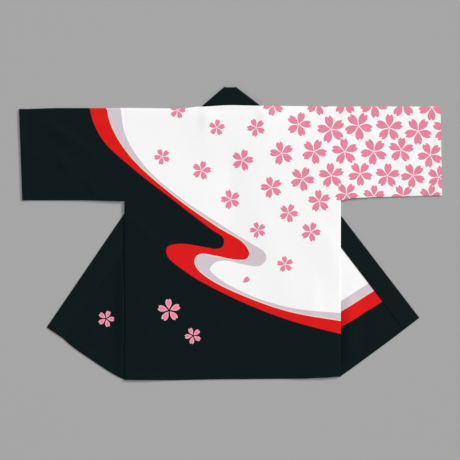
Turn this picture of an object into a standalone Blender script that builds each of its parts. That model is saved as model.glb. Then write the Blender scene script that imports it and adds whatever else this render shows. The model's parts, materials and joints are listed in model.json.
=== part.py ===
"""Happi coat laid flat with its back uppermost, both fronts opened out at the sides.

Sizes are in millimetres and become metres when a mesh is made. X runs across the
arms, Y from the hem to the neck, Z up. The origin is on the surface that the coat
lies on, under the middle of its outline.

Three levels of cloth lie on each other. On the surface: each opened front with its
length of collar. Over it: what stays folded under of each front, the collar's turn
beside the neck and the under layer of each sleeve. On top: the back, the collar
behind the neck and the upper layer of each sleeve.
"""
import math
from collections import namedtuple

import bpy
import numpy as np
from mathutils.geometry import delaunay_2d_cdt

METRE = 0.001

# Walls and clearances
CLOTH = 1.1  # wall of each panel
COLLAR = 2.0  # wall of the folded collar band
SEAM_GAP = 0.3  # between two pieces that are sewn edge to edge
AIR = 0.7  # between two layers that lie on each other
COLLAR_WIDTH = 57.0

# How cloth settles over an edge beneath it
GRID = 27.0  # spacing of a panel's points
LEVEL = 28.0  # full height is kept this far past the edge beneath
DRAPE = 95.0  # then the cloth comes down over this distance
SOFTNESS = 8  # exponent that blends the heights of neighbouring edges
SLIVER = 0.01  # narrower triangles are left out, at edges only

# Division of the sleeves and of the collar
SLEEVE_STATIONS = 10  # from armhole to cuff
SLEEVE_DEPTH_STEPS = 9
LEG_RIBS = 24  # along the collar on an opened front
TURN_RIBS = 4  # beside the neck
NECK_RIBS = 8  # behind the neck
RIB_STEPS = 3  # across the collar

# Folds: a full turn joins two levels, a half turn meets the next piece at a seam
PLY = CLOTH + AIR  # from one level to the next
TURN_STRIP = 2.7  # cloth taken up by a full turn
HALF_STRIP = 1.1  # cloth taken up by a half turn
TURN_STEPS = 6
HALF_STEPS = 4  # the last one is straight, so that seam edges meet squarely
TAIL = 0.1
HALF_RADIUS = (PLY - SEAM_GAP) / 2 - TAIL
HALF_REACH = HALF_RADIUS + CLOTH / 2  # how far a half turn stands out from its panel
SLEEVE_REACH = PLY / 2 + CLOTH / 2
COLLAR_REACH = (COLLAR + AIR) / 2 + COLLAR / 2
NECK_CLEAR = 2.0  # the shoulder seams end this far beside the neck points
FOLD_SHORT = 1.5  # a front's fold stops this far short of the collar
FOLD_CORNER = 8.0  # and the opened front's corner there is cut off over this length
FOLD_INSET = 7.0  # a fold starts this far inside the side seam at the hem
HEM_INSET = 1.0  # the opened front's hem starts this far inside the side
NECK_SLACK = 0.4  # a front stays this much further from the collar at the neck point
NECK_DROP = 1.5  # and its corner there is this far below it

# The outline as laid: shoulder line, hem and underarm seams, left to right
OutlinePoint = namedtuple("OutlinePoint", "x y")
SHOULDER_LINE = [
    OutlinePoint(-620.0, 365.0),
    OutlinePoint(-500.0, 368.0),
    OutlinePoint(-311.0, 368.0),
    OutlinePoint(-146.0, 366.5),
    OutlinePoint(-85.0, 371.5),
    OutlinePoint(0.0, 375.5),
    OutlinePoint(88.0, 374.0),
    OutlinePoint(323.0, 372.5),
    OutlinePoint(616.0, 372.3),
]
HEM_LINE = [
    OutlinePoint(-311.0, -429.0),
    OutlinePoint(-182.0, -430.0),
    OutlinePoint(6.0, -427.0),
    OutlinePoint(195.0, -426.0),
    OutlinePoint(265.0, -423.0),
    OutlinePoint(323.0, -419.5),
]
UNDERARM_LINE = [
    OutlinePoint(-610.4, 97.1),
    OutlinePoint(-440.0, 97.1),
    OutlinePoint(-311.0, 94.5),
    OutlinePoint(323.0, 97.5),
    OutlinePoint(365.0, 104.0),
    OutlinePoint(440.0, 106.8),
    OutlinePoint(620.0, 111.0),
]
COLLAR_TOP = 428.9  # top edge of the collar behind the neck

# Each side as laid. sign: -1 left, 1 right. side: centre to side seam. cuff_top and
# cuff_low: centre to the cuff's two corners. opened: the opened front's hem, collar
# included. swing: how far that hem has turned, degrees. lean: the collar edge's angle
# from upright, degrees. neck: centre to the neck point. crown: centre to the corner of
# the collar's top edge. turn_x, turn_y: where the collar edge turns under at the neck.
# bow: how far the opened hem curves out.
Side = namedtuple(
    "Side", "name sign side cuff_top cuff_low opened swing lean neck crown turn_x turn_y bow"
)
SIDES = [
    Side("left", -1, 311.0, 620.0, 610.4, 275.0, 33.9, 34.3, 85.0, 19.6, 14.0, 400.0, 6.3),
    Side("right", 1, 323.0, 615.3, 620.0, 288.0, 36.6, 37.5, 88.0, 17.0, 12.0, 400.0, 1.0),
]

BLACK = (0.0056, 0.0103, 0.0116)
WHITE = (0.92, 0.92, 0.92)
COTTON_ROUGHNESS = 0.85


def along(table, x):
    """Height of an outline at x, with soft waves between its points."""
    xs = np.array([row.x for row in table])
    ys = np.array([row.y for row in table])
    x = np.clip(x, xs[0], xs[-1])
    i = np.clip(np.searchsorted(xs, x) - 1, 0, len(xs) - 2)
    t = (x - xs[i]) / (xs[i + 1] - xs[i])
    return ys[i] + (ys[i + 1] - ys[i]) * t * t * (3 - 2 * t)


def unit(vector):
    """The vector at length 1."""
    return vector / np.linalg.norm(vector)


def split(line, step):
    """A line's points with more between them, none further apart than step."""
    made = [line[0]]
    for start, end in zip(line[:-1], line[1:]):
        pieces = max(1, math.ceil(np.linalg.norm(end - start) / step))
        made += [start + (end - start) * k / pieces for k in range(1, pieces + 1)]
    return np.array(made)


def arc_bend(start, middle, end, steps=10):
    """A quadratic curve from start to end that leaves start towards middle."""
    t = np.linspace(0, 1, steps + 1)[:, None]
    return (1 - t) ** 2 * start + 2 * t * (1 - t) * middle + t * t * end


def bowed(start, end, bow, steps=10):
    """A line from start to end that curves out to its right by the bow."""
    t = np.linspace(0, 1, steps + 1)[:, None]
    run = unit(end - start)
    return start + t * (end - start) + bow * (1 - (2 * t - 1) ** 4) * np.array([run[1], -run[0]])


def offset(line, distance):
    """The line moved sideways, to its left for a positive distance."""
    run = np.gradient(line, axis=0)
    run /= np.linalg.norm(run, axis=1)[:, None]
    return line + distance * np.stack([-run[:, 1], run[:, 0]], axis=1)


def crossing(line, origin, direction):
    """Where a polyline first crosses a straight line, and the polyline up to there."""
    across = np.array([-direction[1], direction[0]])
    side = (line - origin) @ across
    k = int(np.argmax(side[:-1] * side[1:] <= 0))
    t = side[k] / (side[k] - side[k + 1])
    point = line[k] + t * (line[k + 1] - line[k])
    return point, np.vstack([line[: k + 1], point])


def distance_outside(points, outline):
    """How far each point lies outside a closed outline, 0 inside it."""
    a, b = outline, np.roll(outline, -1, axis=0)
    run = b - a
    rel = points[:, None, :] - a
    t = np.clip((rel * run).sum(2) / (run * run).sum(1), 0, 1)
    gap = np.linalg.norm(rel - t[:, :, None] * run, axis=2).min(1)
    px, py = points[:, 0:1], points[:, 1:2]
    spans = (a[:, 1] > py) != (b[:, 1] > py)
    rise = np.where(run[:, 1] == 0, 1, run[:, 1])
    hits = spans & (px < a[:, 0] + (py - a[:, 1]) / rise * run[:, 0])
    return np.where(hits.sum(1) % 2 == 1, 0.0, gap)


# ---- The plan of each side, in outward coordinates: x grows from the centre line ----


class Plan:
    """Outlines of one side's pieces as they lie, seen from above."""

    def __init__(self, side):
        self.side = side
        swing, lean = math.radians(side.swing), math.radians(side.lean)
        hem_way = np.array([math.cos(swing), math.sin(swing)])
        edge_way = np.array([-math.sin(lean), math.cos(lean)])
        self.seam_x = side.side - HALF_REACH
        self.corner = np.array([side.side - HEM_INSET, self.hem(side.side)])
        self.fold_foot = np.array([self.seam_x - FOLD_INSET, self.hem(side.side) + HEM_INSET / 2])
        self.fold_top = np.array([side.turn_x, side.turn_y])
        self.free_corner = self.corner + (side.opened + HEM_INSET) * hem_way
        self.fold_way = unit(self.fold_top - self.fold_foot)
        self.fold_out = np.array([-self.fold_way[1], self.fold_way[0]])

        reach = (self.free_corner[0] - side.side) / math.sin(lean)
        crossing_point = self.free_corner + reach * edge_way
        span = np.linalg.norm(self.fold_top - crossing_point)
        bend = arc_bend(crossing_point, crossing_point + edge_way * span / 2, self.fold_top)
        straight = np.array([self.free_corner, crossing_point])
        self.free_edge = np.vstack([split(straight, COLLAR_WIDTH), bend[1:]])
        straight_on = self.free_edge[-1] + COLLAR_WIDTH * unit(bend[-1] - bend[-2])
        longer = np.vstack([self.free_edge, straight_on])
        seam = offset(longer, COLLAR_WIDTH)
        self.seam_foot, self.collar_seam = crossing(seam, self.fold_foot, self.fold_way)
        panel = offset(longer, COLLAR_WIDTH + SEAM_GAP)
        _, self.panel_seam = crossing(panel, self.fold_foot, self.fold_way)
        self.open_hem = bowed(self.corner, self.panel_seam[0], side.bow)

        slope = unit(np.array([side.crown - side.neck, COLLAR_TOP - self.shoulder(side.neck)]))
        self.crown_out = np.array([slope[1], -slope[0]])
        neck_x = side.neck - COLLAR_REACH / slope[1]
        self.neck_point = np.array([neck_x, self.shoulder(neck_x) + SEAM_GAP])
        self.crown = np.array([side.crown - COLLAR_REACH / slope[1], COLLAR_TOP - 1.0])

    def shoulder(self, x):
        """Height of the shoulder line at a distance from the centre."""
        return along(SHOULDER_LINE, self.side.sign * x)

    def hem(self, x):
        """Height of the hem at a distance from the centre."""
        return along(HEM_LINE, self.side.sign * x)

    def underarm(self, x):
        """Height of the underarm line at a distance from the centre."""
        return along(UNDERARM_LINE, self.side.sign * x)

    def line_at(self, height, x_from, x_to, drop=0.0):
        """Points along an outline between two distances from the centre."""
        xs = np.linspace(x_from, x_to, max(2, math.ceil(abs(x_to - x_from) / GRID) + 1))
        return np.stack([xs, height(xs) - drop], axis=1)

    def leg(self):
        """The collar along the opened front."""
        return np.vstack([self.free_edge, self.collar_seam[::-1]])

    def flap(self):
        """The opened front without its collar, from the fold's foot round to its top."""
        return np.vstack([self.fold_foot, self.open_hem[:-1], self.panel_seam])

    def turn(self):
        """The collar's turn, between its two folds beside the neck."""
        return np.array([self.seam_foot, self.fold_top, self.crown, self.neck_point])

    def under(self):
        """What stays under the back of each front, up to the side and shoulder seams."""
        neck_edge = self.neck_edge()
        shoulder = self.line_at(self.shoulder, self.seam_x, neck_edge[0][0], HALF_REACH)
        side = np.array([[self.seam_x, self.hem(self.seam_x)]])
        return np.vstack([self.fold_foot, side, shoulder, neck_edge, self.panel_seam[-1]])

    def neck_edge(self):
        """The front's own edge beside the collar's turn, from the shoulder down."""
        way = unit(self.seam_foot - self.neck_point)
        aside = np.array([-way[1], way[0]]) * SEAM_GAP
        top = self.neck_point + aside + np.array([NECK_SLACK, -NECK_DROP])
        low = self.seam_foot + aside - NECK_CLEAR * way
        return np.array([top, low])

    def sleeve(self):
        """Either layer of the sleeve."""
        inner = self.seam_x + SEAM_GAP
        top = self.line_at(self.shoulder, inner, self.side.cuff_top)
        low = self.line_at(self.underarm, self.side.cuff_low, inner)
        return np.vstack([top, low])

    def world(self, outline):
        """An outline moved from outward coordinates to its own side."""
        return outline * np.array([self.side.sign, 1])


PLANS = [Plan(side) for side in SIDES]


# ---- Heights of the three levels ----


def ramp(distance):
    """Share of its height that cloth keeps at a distance past the edge beneath it."""
    t = np.clip((distance - LEVEL) / DRAPE, 0, 1)
    return 0.5 + 0.5 * np.cos(math.pi * t)


def lift(points, layers, beneath):
    """Height of cloth that settles over layers, each an outline and a wall."""
    total = np.zeros(len(points))
    for outline, wall in layers:
        top = beneath(points) + wall + AIR
        total += (top * ramp(distance_outside(points, outline))) ** SOFTNESS
    return total ** (1 / SOFTNESS)


FIRST_LAYERS = [
    (plan.world(outline), wall)
    for plan in PLANS
    for outline, wall in ((plan.leg(), COLLAR), (plan.flap(), CLOTH))
]
SECOND_LAYERS = [
    (plan.world(outline), wall)
    for plan in PLANS
    for outline, wall in ((plan.turn(), COLLAR), (plan.under(), CLOTH), (plan.sleeve(), CLOTH))
]


def first_level(points):
    """The surface that the coat lies on."""
    return np.zeros(len(points))


def second_level(points):
    """Top of the opened fronts and their collar, and the cloth's rest around them."""
    return lift(points, FIRST_LAYERS, first_level)


def third_level(points):
    """Top of what lies under the back, and the cloth's rest around it."""
    return lift(points, SECOND_LAYERS, second_level)


# ---- Making walls ----


def inner_points(outline, lines, step):
    """A lattice inside the outline, clear of it and of the lines."""
    low, high = outline.min(0), outline.max(0)
    xs = np.arange(low[0] + step / 2, high[0], step)
    ys = np.arange(low[1] + step / 2, high[1], step)
    lattice = np.array([(x, y) for x in xs for y in ys])
    inside = distance_outside(lattice, outline) == 0
    edge = [split(np.vstack([outline, outline[:1]]), step / 3)]
    marks = np.vstack(edge + [split(line, step / 3) for line in lines])
    gap = np.linalg.norm(lattice[:, None, :] - marks, axis=2).min(1)
    return lattice[inside & (gap > 0.45 * step)]


def triangles(outline, lines=(), step=GRID):
    """A flat outline cut into triangles whose edges follow the lines."""
    rim = split(np.vstack([outline, outline[:1]]), step)[:-1]
    points, edges = list(rim), []
    for line in lines:
        line = split(line, step)
        edges += [(len(points) + k, len(points) + k + 1) for k in range(len(line) - 1)]
        points += list(line)
    points += list(inner_points(outline, lines, step))
    edges += [(k, (k + 1) % len(rim)) for k in range(len(rim))]
    made = delaunay_2d_cdt([tuple(map(float, p)) for p in points], edges, [], 0, 1e-4, False)
    flat = np.array([tuple(p) for p in made[0]])
    faces = [tuple(face) for face in made[2] if breadth(flat[list(face)]) > SLIVER]
    middles = np.array([flat[list(face)].mean(0) for face in faces])
    inside = distance_outside(middles, outline) == 0
    return flat, [face for face, kept in zip(faces, inside) if kept]


def breadth(corners):
    """A triangle's area over its longest edge."""
    a, b, c = corners
    area = abs(np.cross(b - a, c - a)) / 2
    return area / max(np.linalg.norm(b - a), np.linalg.norm(c - b), np.linalg.norm(a - c))


def wall(name, points, faces, thickness, colour):
    """An object whose middle surface has these points, with the wall's thickness."""
    mesh = bpy.data.meshes.new(name)
    mesh.from_pydata((points * METRE).tolist(), [], faces)
    mesh.validate()
    mesh.shade_smooth()
    mesh.set_sharp_from_angle(angle=math.radians(40))
    mesh.materials.append(cotton(name, colour))
    piece = bpy.data.objects.new(name, mesh)
    bpy.context.scene.collection.objects.link(piece)
    solidify = piece.modifiers.new("Wall", "SOLIDIFY")
    solidify.thickness = thickness * METRE
    solidify.offset = 0.0
    return piece


def cotton(name, colour):
    """A matt cotton material of its own for a piece."""
    material = bpy.data.materials.new(name + "_cotton")
    material.use_nodes = True
    shader = material.node_tree.nodes["Principled BSDF"]
    shader.inputs["Base Color"].default_value = (*colour, 1.0)
    shader.inputs["Roughness"].default_value = COTTON_ROUGHNESS
    shader.inputs["Metallic"].default_value = 0.0
    return material


def strips(line, way, width, steps):
    """Lines beside an edge that divide a turn's strip."""
    return [line + np.array(way) * width * k / steps for k in range(steps)]


def half_turn(past, radius):
    """Reach and drop of cloth that has gone a distance past its edge into a half turn."""
    step = past / HALF_STRIP * HALF_STEPS
    angle = np.clip(step / (HALF_STEPS - 1), 0, 1) * math.pi / 2
    tail = TAIL * np.clip(step - (HALF_STEPS - 1), 0, 1)
    return radius * np.sin(angle), radius * (1 - np.cos(angle)) + tail


def seam_radius(under, over):
    """Radius of the half turns of two layers whose edges meet between them."""
    return (over - under - SEAM_GAP) / 2 - TAIL


# ---- Pieces ----


def outline_run(table, x_from, x_to, drop=0.0):
    """Points along an outline table between two places across the coat."""
    xs = np.linspace(x_from, x_to, math.ceil(abs(x_to - x_from) / GRID) + 1)
    return np.stack([xs, along(table, xs) - drop], axis=1)


def back_panel():
    """The back, in one piece from side to side."""
    left, right = PLANS
    x_low, x_high = -left.seam_x, right.seam_x
    neck_low, neck_high = -left.side.neck - NECK_CLEAR, right.side.neck + NECK_CLEAR
    out, up = np.array([HALF_STRIP, 0.0]), np.array([0.0, HALF_STRIP])

    edges = {}
    for x_seam, way in ((x_low, -1), (x_high, 1)):
        pit = along(UNDERARM_LINE, x_seam) - HALF_REACH
        edges[way] = np.array([[x_seam, along(HEM_LINE, x_seam)], [x_seam, pit]])
    tops = {
        -1: outline_run(SHOULDER_LINE, neck_low, x_low, HALF_REACH),
        1: outline_run(SHOULDER_LINE, x_high, neck_high, HALF_REACH),
    }
    outline = np.vstack(
        [
            edges[-1][:1] - out,
            outline_run(HEM_LINE, x_low, x_high),
            edges[1] + out,
            edges[1][1:],
            tops[1][:1],
            tops[1] + up,
            tops[1][-1:],
            outline_run(SHOULDER_LINE, neck_high - SEAM_GAP, neck_low + SEAM_GAP),
            tops[-1][:1],
            tops[-1] + up,
            tops[-1][-1:],
            edges[-1][1:],
            edges[-1][1:] - out,
        ]
    )
    lines = []
    for way in (-1, 1):
        lines += strips(edges[way], (way, 0), HALF_STRIP, HALF_STEPS)
        lines += strips(tops[way], (0, 1), HALF_STRIP, HALF_STEPS)
    flat, faces = triangles(outline, lines)

    x, y = flat[:, 0], flat[:, 1]
    shoulder = along(SHOULDER_LINE, x) - HALF_REACH
    side_past = np.clip(np.maximum(x_low - x, x - x_high), 0, HALF_STRIP)
    beside_neck = (x < neck_low) | (x > neck_high)
    top_past = np.where(beside_neck, np.clip(y - shoulder, 0, HALF_STRIP), 0)
    outward = np.where(x < 0, -1, 1)
    base = flat - np.stack([outward * side_past, top_past], axis=1)
    over = third_level(base)
    radius = seam_radius(second_level(base), over)
    side_reach, side_drop = half_turn(side_past, radius)
    top_reach, top_drop = half_turn(top_past, radius)
    height = over + CLOTH / 2 - side_drop - top_drop
    points = np.stack([base[:, 0] + outward * side_reach, base[:, 1] + top_reach, height], axis=1)
    return wall("back_panel", points, faces, CLOTH, WHITE)


def front_panel(plan):
    """A front: folded under the back, then opened out from the fold over the side.

    On the flat cut the fold lies along the first axis; the folded-under part is on the
    low side of it and the opened part past a strip for the turn."""
    side = plan.side
    mirror = np.array([side.sign, 1])
    foot, way, out = plan.fold_foot, plan.fold_way, plan.fold_out

    def onto_cut(points, opened):
        rel = points - foot
        aside = rel @ out
        return np.stack([rel @ way, TURN_STRIP - aside if opened else aside], axis=1)

    fold_length = (plan.panel_seam[-1] - foot) @ way - FOLD_SHORT
    armpit = plan.underarm(plan.seam_x) - HALF_REACH
    side_edge = np.array([[plan.seam_x, plan.hem(plan.seam_x)], [plan.seam_x, armpit]])
    shoulder = plan.line_at(plan.shoulder, plan.seam_x, side.neck + 2 * NECK_CLEAR, HALF_REACH)
    strip_out, strip_up = np.array([HALF_STRIP, 0.0]), np.array([0.0, HALF_STRIP])
    under = np.vstack(
        [
            side_edge + strip_out,
            side_edge[1:],
            shoulder[:1],
            shoulder + strip_up,
            shoulder[-1:],
            plan.neck_edge()[:1],
        ]
    )
    seam = plan.panel_seam[(plan.panel_seam - foot) @ way < fold_length - FOLD_CORNER]
    flap = np.vstack([seam[::-1], plan.open_hem[-2::-1]])
    outline = np.vstack(
        [
            onto_cut(under, False),
            [[fold_length, 0.0], [fold_length, TURN_STRIP]],
            onto_cut(flap, True),
            [[0.0, TURN_STRIP], [0.0, 0.0]],
        ]
    )
    fold = np.array([[0.0, 0.0], [fold_length, 0.0]])
    lines = strips(fold, (0, 1), TURN_STRIP * (1 + 1 / TURN_STEPS), TURN_STEPS + 1)
    lines += [onto_cut(line, False) for line in strips(side_edge, (1, 0), HALF_STRIP, HALF_STEPS)]
    lines += [onto_cut(line, False) for line in strips(shoulder, (0, 1), HALF_STRIP, HALF_STEPS)]
    flat, faces = triangles(outline, lines)

    run, aside = flat[:, 0], flat[:, 1]
    laid = foot + run[:, None] * way + np.minimum(aside, 0.0)[:, None] * out
    x, y = laid[:, 0], laid[:, 1]
    side_past = np.clip(x - plan.seam_x, 0, HALF_STRIP)
    above = np.clip(y - plan.shoulder(x) + HALF_REACH, 0, HALF_STRIP)
    top_past = np.where(x > side.neck + 1.5 * NECK_CLEAR, above, 0)
    base = laid - np.stack([side_past, top_past], axis=1)
    under_z = second_level(base * mirror)
    radius = seam_radius(under_z, third_level(base * mirror))
    side_reach, side_rise = half_turn(side_past, radius)
    top_reach, top_rise = half_turn(top_past, radius)
    height = under_z + CLOTH / 2 + side_rise + top_rise
    folded = np.stack([base[:, 0] + side_reach, base[:, 1] + top_reach, height], axis=1)

    past = np.clip(aside / TURN_STRIP, 0, 1) * math.pi
    reach = under_z / 2 * np.sin(past)
    spread = foot + run[:, None] * way - np.maximum(aside - TURN_STRIP, 0.0)[:, None] * out
    height = CLOTH / 2 + under_z / 2 * (1 + np.cos(past))
    opened = np.column_stack([spread + reach[:, None] * out, height])
    points = np.where((aside <= 0)[:, None], folded, opened) * [side.sign, 1, 1]
    return wall(f"front_{side.name}", points, faces, CLOTH, BLACK)


def sleeve(plan):
    """A sleeve: one piece turned over at the shoulder line and closed underneath."""
    side = plan.side
    inner = plan.seam_x + SEAM_GAP
    rings = []
    for share in np.linspace(0, 1, SLEEVE_STATIONS + 1):
        ends = []
        for height, cuff in ((plan.shoulder, side.cuff_top), (plan.underarm, side.cuff_low)):
            x = inner + (cuff - inner) * share
            ends.append(np.array([x, float(height(x))]))
        way = unit(ends[0] - ends[1])
        top, low = ends[0] - way * SLEEVE_REACH, ends[1] + way * SLEEVE_REACH
        run = low + np.linspace(0, 1, SLEEVE_DEPTH_STEPS + 1)[:, None] * (top - low)
        world = run * [side.sign, 1]
        lower, upper = second_level(world) + CLOTH / 2, third_level(world) + CLOTH / 2
        ring = [(*p, z) for p, z in zip(run, lower)]
        ring += turned_end(run[-1], way, lower[-1], upper[-1])
        ring += [(*p, z) for p, z in zip(run[::-1], upper[::-1])]
        ring += turned_end(run[0], -way, upper[0], lower[0])
        rings.append(ring)
    count = len(rings[0])
    faces = [
        (k * count + i, k * count + (i + 1) % count, (k + 1) * count + (i + 1) % count, (k + 1) * count + i)
        for k in range(SLEEVE_STATIONS)
        for i in range(count)
    ]
    points = np.array(rings).reshape(-1, 3) * [side.sign, 1, 1]
    return wall(f"sleeve_{side.name}", points, faces, CLOTH, BLACK if side.sign < 0 else WHITE)


def turned_end(point, way, z_from, z_to):
    """Points round a full turn, between its two ends."""
    radius, middle = abs(z_to - z_from) / 2, (z_from + z_to) / 2
    made = []
    for k in range(1, TURN_STEPS):
        angle = math.pi * k / TURN_STEPS
        x, y = point + way * radius * math.sin(angle)
        made.append((x, y, middle + (z_from - middle) * math.cos(angle)))
    return made


def collar():
    """One band, from the left hem up round the back of the neck to the right hem."""
    halves = [collar_half(plan) for plan in PLANS]
    left, right = PLANS
    neck = []
    for share in np.linspace(0, 1, NECK_RIBS + 1)[1:-1]:
        seam_x = -left.neck_point[0] + share * (left.neck_point[0] + right.neck_point[0])
        free_x = -left.crown[0] + share * (left.crown[0] + right.crown[0])
        seam = np.array([seam_x, along(SHOULDER_LINE, seam_x) + SEAM_GAP])
        neck.append(rib(seam, np.array([free_x, left.crown[1]]), third_level))
    ribs = halves[0] + neck + halves[1][::-1]
    count = len(ribs[0])
    faces = [
        (k * count + i, k * count + i + 1, (k + 1) * count + i + 1, (k + 1) * count + i)
        for k in range(len(ribs) - 1)
        for i in range(count - 1)
    ]
    return wall("collar", np.array(ribs).reshape(-1, 3), faces, COLLAR, BLACK)


def rib(seam, free, level, sign=1):
    """Points across the band, from its seam to its free edge, on a level."""
    line = seam + np.linspace(0, 1, RIB_STEPS + 1)[:, None] * (free - seam)
    line = line * [sign, 1]
    return np.column_stack([line, level(line) + COLLAR / 2])


def collar_half(plan):
    """Ribs of the band from one hem to the fold beside the neck."""
    sign = plan.side.sign
    free, seam = at_shares(plan.free_edge, LEG_RIBS), at_shares(plan.collar_seam, LEG_RIBS)
    leg = [rib(s, f, first_level, sign) for s, f in zip(seam, free)]
    turn = []
    for share in np.linspace(0, 1, TURN_RIBS + 1):
        s = plan.seam_foot + share * (plan.neck_point - plan.seam_foot)
        f = plan.fold_top + share * (plan.crown - plan.fold_top)
        turn.append(rib(s, f, second_level, sign))
    top = rib(plan.neck_point, plan.crown, third_level, sign)
    outward = np.array([sign, 1])
    fold_out = plan.fold_out * outward
    low_fold = fold_ribs(leg[-1], turn[0], fold_out)
    high_fold = fold_ribs(turn[-1], top, plan.crown_out * outward)
    return leg + low_fold + turn + high_fold + [top]


def fold_ribs(start, end, out):
    """Ribs round a fold between two ribs that lie over each other."""
    made = []
    middle, half = (start + end) / 2, (end[:, 2] - start[:, 2]) / 2
    for k in range(1, TURN_STEPS):
        angle = math.pi * k / TURN_STEPS
        rib_points = middle.copy()
        rib_points[:, :2] += out * (half * math.sin(angle))[:, None]
        rib_points[:, 2] -= half * math.cos(angle)
        made.append(rib_points)
    return made


def at_shares(line, count):
    """count + 1 points at even shares of a line's length."""
    steps = np.linalg.norm(np.diff(line, axis=0), axis=1)
    length = np.concatenate([[0], np.cumsum(steps)])
    marks = np.linspace(0, length[-1], count + 1)
    return np.stack([np.interp(marks, length, line[:, k]) for k in range(2)], axis=1)


def main():
    """Clear the scene and make the six pieces."""
    for old in list(bpy.data.objects):
        bpy.data.objects.remove(old)
    back_panel()
    for plan in PLANS:
        front_panel(plan)
        sleeve(plan)
    collar()


main()
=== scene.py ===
"""The happi coat's looks: printed cotton, laid flat with its back uppermost.

Sizes are in millimetres and become metres when a mesh is made. X runs across the
arms, Y from the hem to the neck, Z up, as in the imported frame. A piece's cut is its
outline spread out flat, before it was folded and sewn.
"""

import json
import math
from collections import namedtuple

import bpy
import numpy as np
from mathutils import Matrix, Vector
from mathutils.geometry import delaunay_2d_cdt
from mathutils.kdtree import KDTree

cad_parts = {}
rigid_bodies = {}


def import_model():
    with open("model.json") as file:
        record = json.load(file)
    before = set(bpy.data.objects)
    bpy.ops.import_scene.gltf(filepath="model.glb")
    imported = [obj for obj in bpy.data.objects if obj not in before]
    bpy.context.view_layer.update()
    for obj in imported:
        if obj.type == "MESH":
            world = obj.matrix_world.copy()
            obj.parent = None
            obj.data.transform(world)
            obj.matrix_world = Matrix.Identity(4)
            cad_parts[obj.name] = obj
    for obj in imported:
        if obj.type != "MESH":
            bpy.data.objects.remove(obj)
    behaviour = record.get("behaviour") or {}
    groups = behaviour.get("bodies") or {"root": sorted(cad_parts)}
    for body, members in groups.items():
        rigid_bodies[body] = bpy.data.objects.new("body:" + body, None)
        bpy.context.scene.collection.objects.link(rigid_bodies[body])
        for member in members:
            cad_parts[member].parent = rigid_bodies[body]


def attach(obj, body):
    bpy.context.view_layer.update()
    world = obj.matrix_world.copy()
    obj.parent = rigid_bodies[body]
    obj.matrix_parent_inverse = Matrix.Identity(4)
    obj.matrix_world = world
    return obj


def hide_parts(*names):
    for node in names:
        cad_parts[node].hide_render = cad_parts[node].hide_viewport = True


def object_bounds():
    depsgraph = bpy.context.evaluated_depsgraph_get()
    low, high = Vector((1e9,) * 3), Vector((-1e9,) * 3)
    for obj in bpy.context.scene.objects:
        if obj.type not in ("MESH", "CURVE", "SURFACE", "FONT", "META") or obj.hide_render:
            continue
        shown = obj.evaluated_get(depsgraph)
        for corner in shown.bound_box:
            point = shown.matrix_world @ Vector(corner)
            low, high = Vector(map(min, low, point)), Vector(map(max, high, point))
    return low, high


bl_info = {
    "name": "Happi Coat Laid Flat",
    "version": (1, 0, 0),
    "blender": (4, 5, 0),
    "location": "3D View > Sidebar > Happi",
    "description": "Builds a printed cotton happi coat on its packed solids",
    "category": "Object",
}

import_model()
CAD_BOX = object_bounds()

METRE = 0.001  # a millimetre

# Walls and clearances
CLOTH = 1.1  # wall of each panel
COLLAR = 2.0  # wall of the folded collar band
SEAM_GAP = 0.3  # between two edges that turn to meet each other
SEAM_LINE = 0.08  # between two pieces that lie edge to edge, so that no floor shows
AIR = 0.7  # between two layers that lie on each other
COLLAR_WIDTH = 57.0  # from the collar's seam to its folded edge

# How cloth settles over an edge beneath it
GRID = 7.0  # spacing of a panel's points
LEVEL = 28.0  # full height is kept this far past the edge beneath
DRAPE = 150.0  # then the cloth comes down over this distance
SOFTNESS = 8  # exponent that blends the heights of neighbouring edges
SLIVER = 0.01  # narrower triangles are left out, at edges only
MERGE = 1e-4  # points nearer than this become one
LATTICE_CLEAR = 0.45  # share of its spacing that the lattice keeps from any line

# Folds: a full turn joins two levels, a half turn meets the next piece at a seam
PLY = CLOTH + AIR  # from one level to the next
TURN_STRIP = 2.7  # cloth taken up by a full turn
HALF_STRIP = 1.1  # cloth taken up by a half turn
TURN_STEPS = 6
HALF_STEPS = 4  # the last one is straight, so that seam edges meet squarely
TAIL = 0.1  # length of that straight part
HALF_RADIUS = (PLY - SEAM_GAP) / 2 - TAIL
HALF_REACH = HALF_RADIUS + CLOTH / 2  # how far a half turn stands out from its panel
SLEEVE_REACH = PLY / 2 + CLOTH / 2  # the same for a sleeve's full turn
COLLAR_REACH = (COLLAR + AIR) / 2 + COLLAR / 2  # and for the collar's
NECK_CLEAR = 2.0  # the back's shoulder seams end this far beside the neck points
FRONT_NECK_CLEAR = 4.0  # and the fronts' ones this far
FRONT_TURN_CLEAR = 3.0  # where a front's half turn has ended
CROWN_DROP = 1.0  # the collar's top corners lie this far below its top edge
FOLD_SHORT = 1.5  # a front's fold stops this far short of the collar
FOLD_CORNER = 8.0  # and the opened front's corner there is cut off over this length
FOLD_INSET = 7.0  # a fold starts this far inside the side seam at the hem
HEM_INSET = 1.0  # the opened front's hem starts this far inside the side
NECK_SLACK = 0.4  # a front stays this much further from the collar at the neck point
NECK_DROP = 1.5  # and its corner there is this far below it
BEND_STEPS = 10  # along a curve of the outline
BOW_FULLNESS = 4  # exponent; the higher, the flatter a bow's middle

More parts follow.
